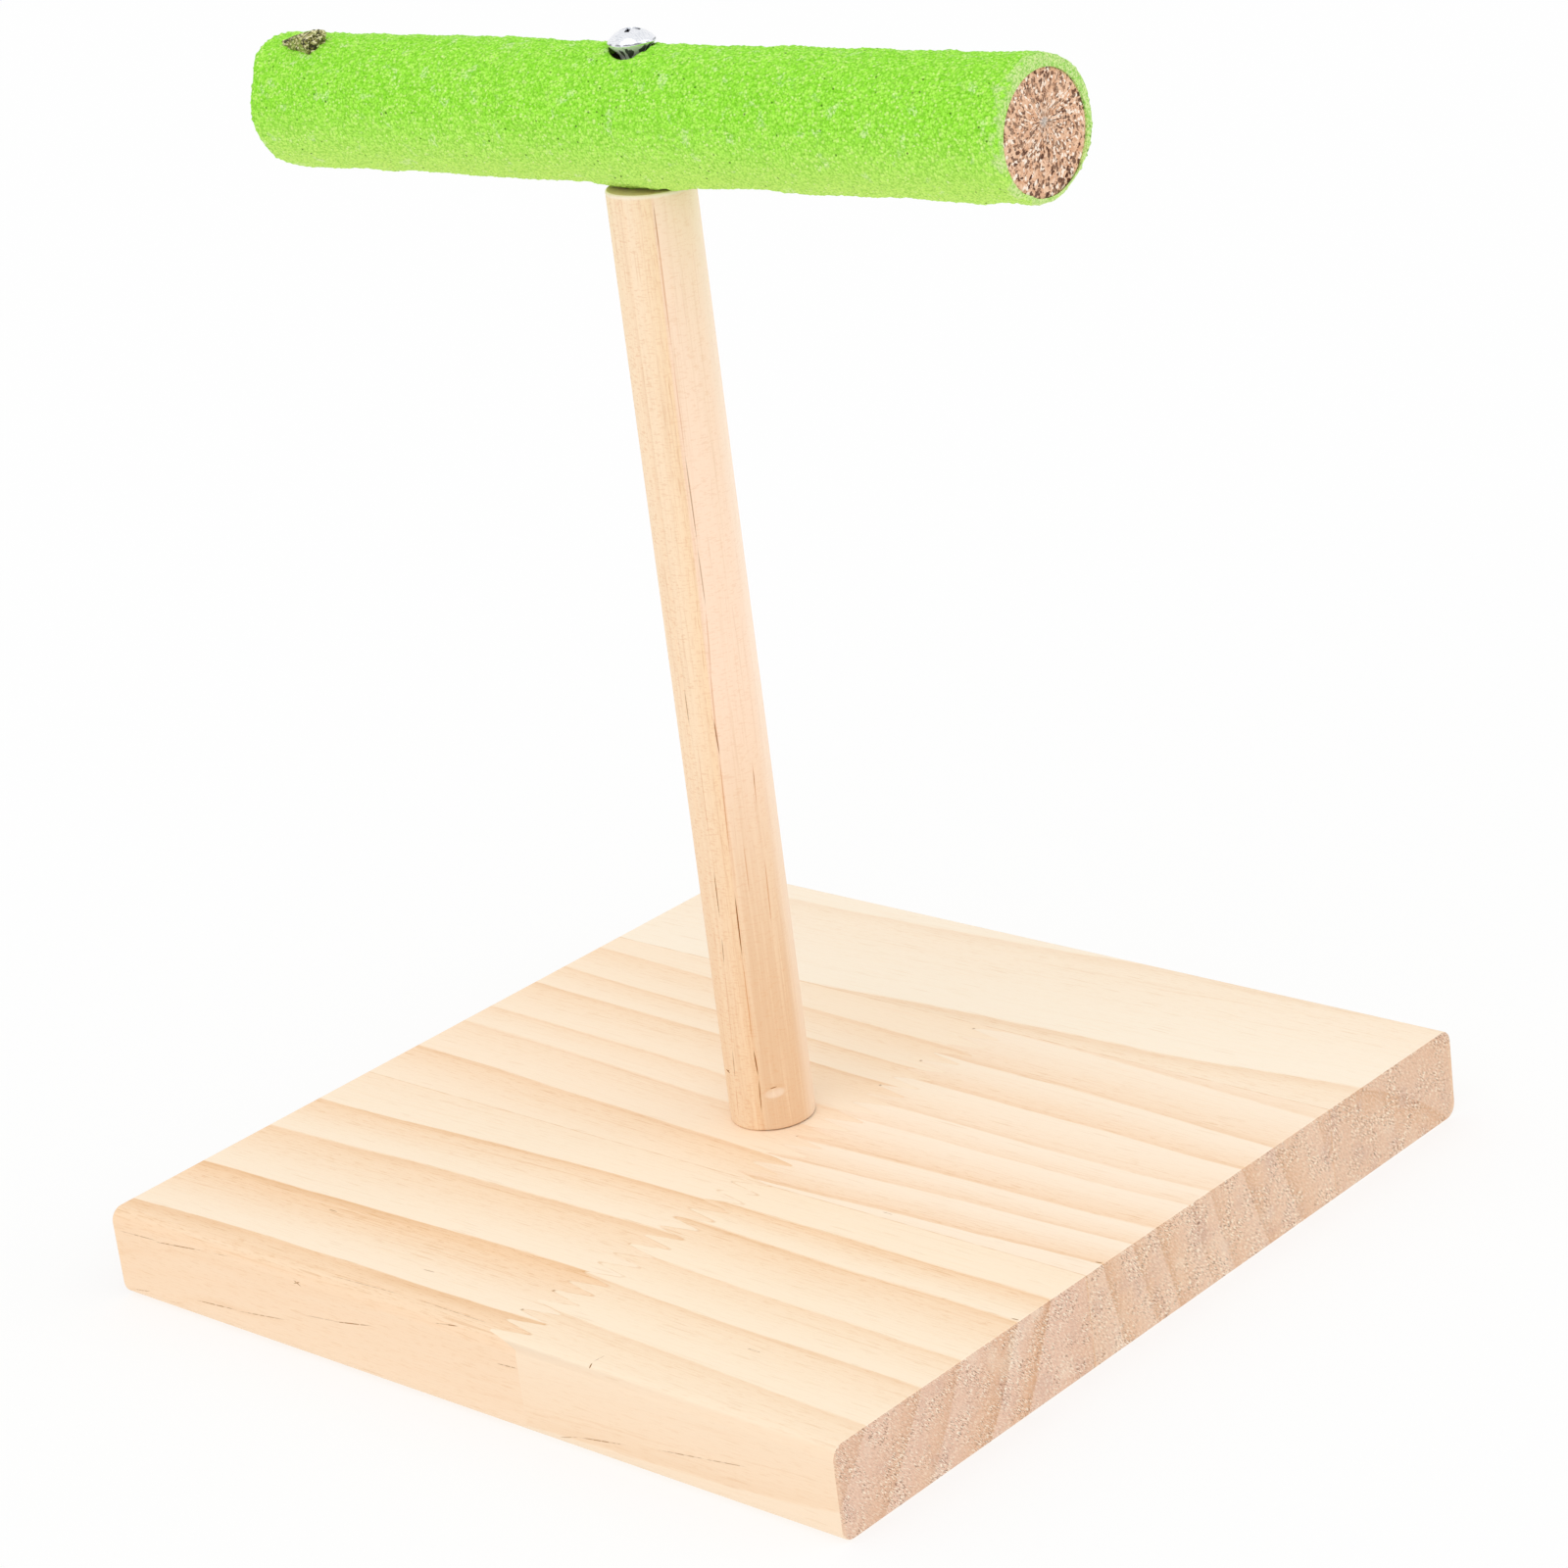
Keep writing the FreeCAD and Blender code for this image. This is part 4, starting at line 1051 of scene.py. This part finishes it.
PAPER_WHITE = (0.96, 0.96, 0.96, 1)
FLOOR_SHADOW = 0.35
FLOOR_GLOW = 1.02
SKY_WHITE = (1, 1, 1, 1)
SKY_GLOW = 0.83


def seen_directly(shade):
    """1 for a ray from the camera, a reflection or a transmission, and 0 for a ray of soft light."""
    light_path = shade.make("ShaderNodeLightPath").socket.node.outputs
    kinds = ("Camera", "Glossy", "Transmission")
    camera, glossy, clear = (Shade(light_path[f"Is {kind} Ray"]) for kind in kinds)
    return camera.math("MAXIMUM", glossy).math("MAXIMUM", clear)


paper = bpy.data.materials.new("white_paper")
paper.use_nodes = True
paper.node_tree.nodes.clear()
paper_out = paper.node_tree.nodes.new("ShaderNodeOutputMaterial")
lit = Shade(paper.node_tree.nodes.new("ShaderNodeBsdfDiffuse").outputs[0])
lit.socket.node.inputs["Color"].default_value = PAPER_WHITE
white = lit.make("ShaderNodeEmission", sockets={"Strength": 1.0})
glow = lit.make("ShaderNodeEmission", sockets={"Strength": FLOOR_GLOW})
shown = lit.make("ShaderNodeMixShader", sockets={0: FLOOR_SHADOW, 1: white, 2: lit})
bounced = lit.make("ShaderNodeMixShader", sockets={0: seen_directly(lit), 1: glow, 2: shown})
clear = lit.make("ShaderNodeBsdfTransparent")
facing = lit.make("ShaderNodeNewGeometry", output="Backfacing")
one_sided = lit.make("ShaderNodeMixShader", sockets={0: facing, 1: bounced, 2: clear})
paper.node_tree.links.new(one_sided.socket, paper_out.inputs["Surface"])
floor_mesh.materials.append(paper)

world = bpy.data.worlds.new("studio")
world.use_nodes = True
bpy.context.scene.world = world
sky = Shade(world.node_tree.nodes["Background"].outputs[0])
sky.socket.node.inputs["Color"].default_value = SKY_WHITE
sky.socket.node.inputs["Strength"].default_value = SKY_GLOW
backdrop = sky.make("ShaderNodeBackground", sockets={"Color": SKY_WHITE, "Strength": 1.0})
surround = sky.make("ShaderNodeMixShader", sockets={0: seen_directly(sky), 1: sky, 2: backdrop})
world.node_tree.links.new(surround.socket, world.node_tree.nodes["World Output"].inputs["Surface"])

LAMP_SOFTNESS = math.radians(60)
LAMPS = [("key", (0.15, -0.55, 0.85), 0.55), ("fill", (0.8, 0.35, 0.5), 0.3)]
for name, towards, strength in LAMPS:
    lamp = bpy.data.lights.new(name, "SUN")
    lamp.energy = strength
    lamp.angle = LAMP_SOFTNESS
    light = bpy.data.objects.new(name, lamp)
    light.rotation_euler = Vector(towards).to_track_quat("Z", "Y").to_euler()
    bpy.context.scene.collection.objects.link(light)

CAMERA_PLACE = Vector((596.5, -606.3, 418.4)) * MM
CAMERA_AIM = Vector((4.4, 9.0, 92.9)) * MM
CAMERA_ROLL = math.radians(-7.285)
CAMERA_LENS = 102.8
CAMERA_SENSOR = 36
camera_data = bpy.data.cameras.new("camera")
camera_data.lens = CAMERA_LENS
camera_data.sensor_width = CAMERA_SENSOR
camera = bpy.data.objects.new("camera", camera_data)
upright = (CAMERA_AIM - CAMERA_PLACE).to_track_quat("-Z", "Y").to_matrix().to_4x4()
camera.matrix_world = Matrix.Translation(CAMERA_PLACE) @ upright @ Matrix.Rotation(CAMERA_ROLL, 4, "Z")
bpy.context.scene.collection.objects.link(camera)
bpy.context.scene.camera = camera
bpy.context.scene.view_settings.view_transform = "Standard"
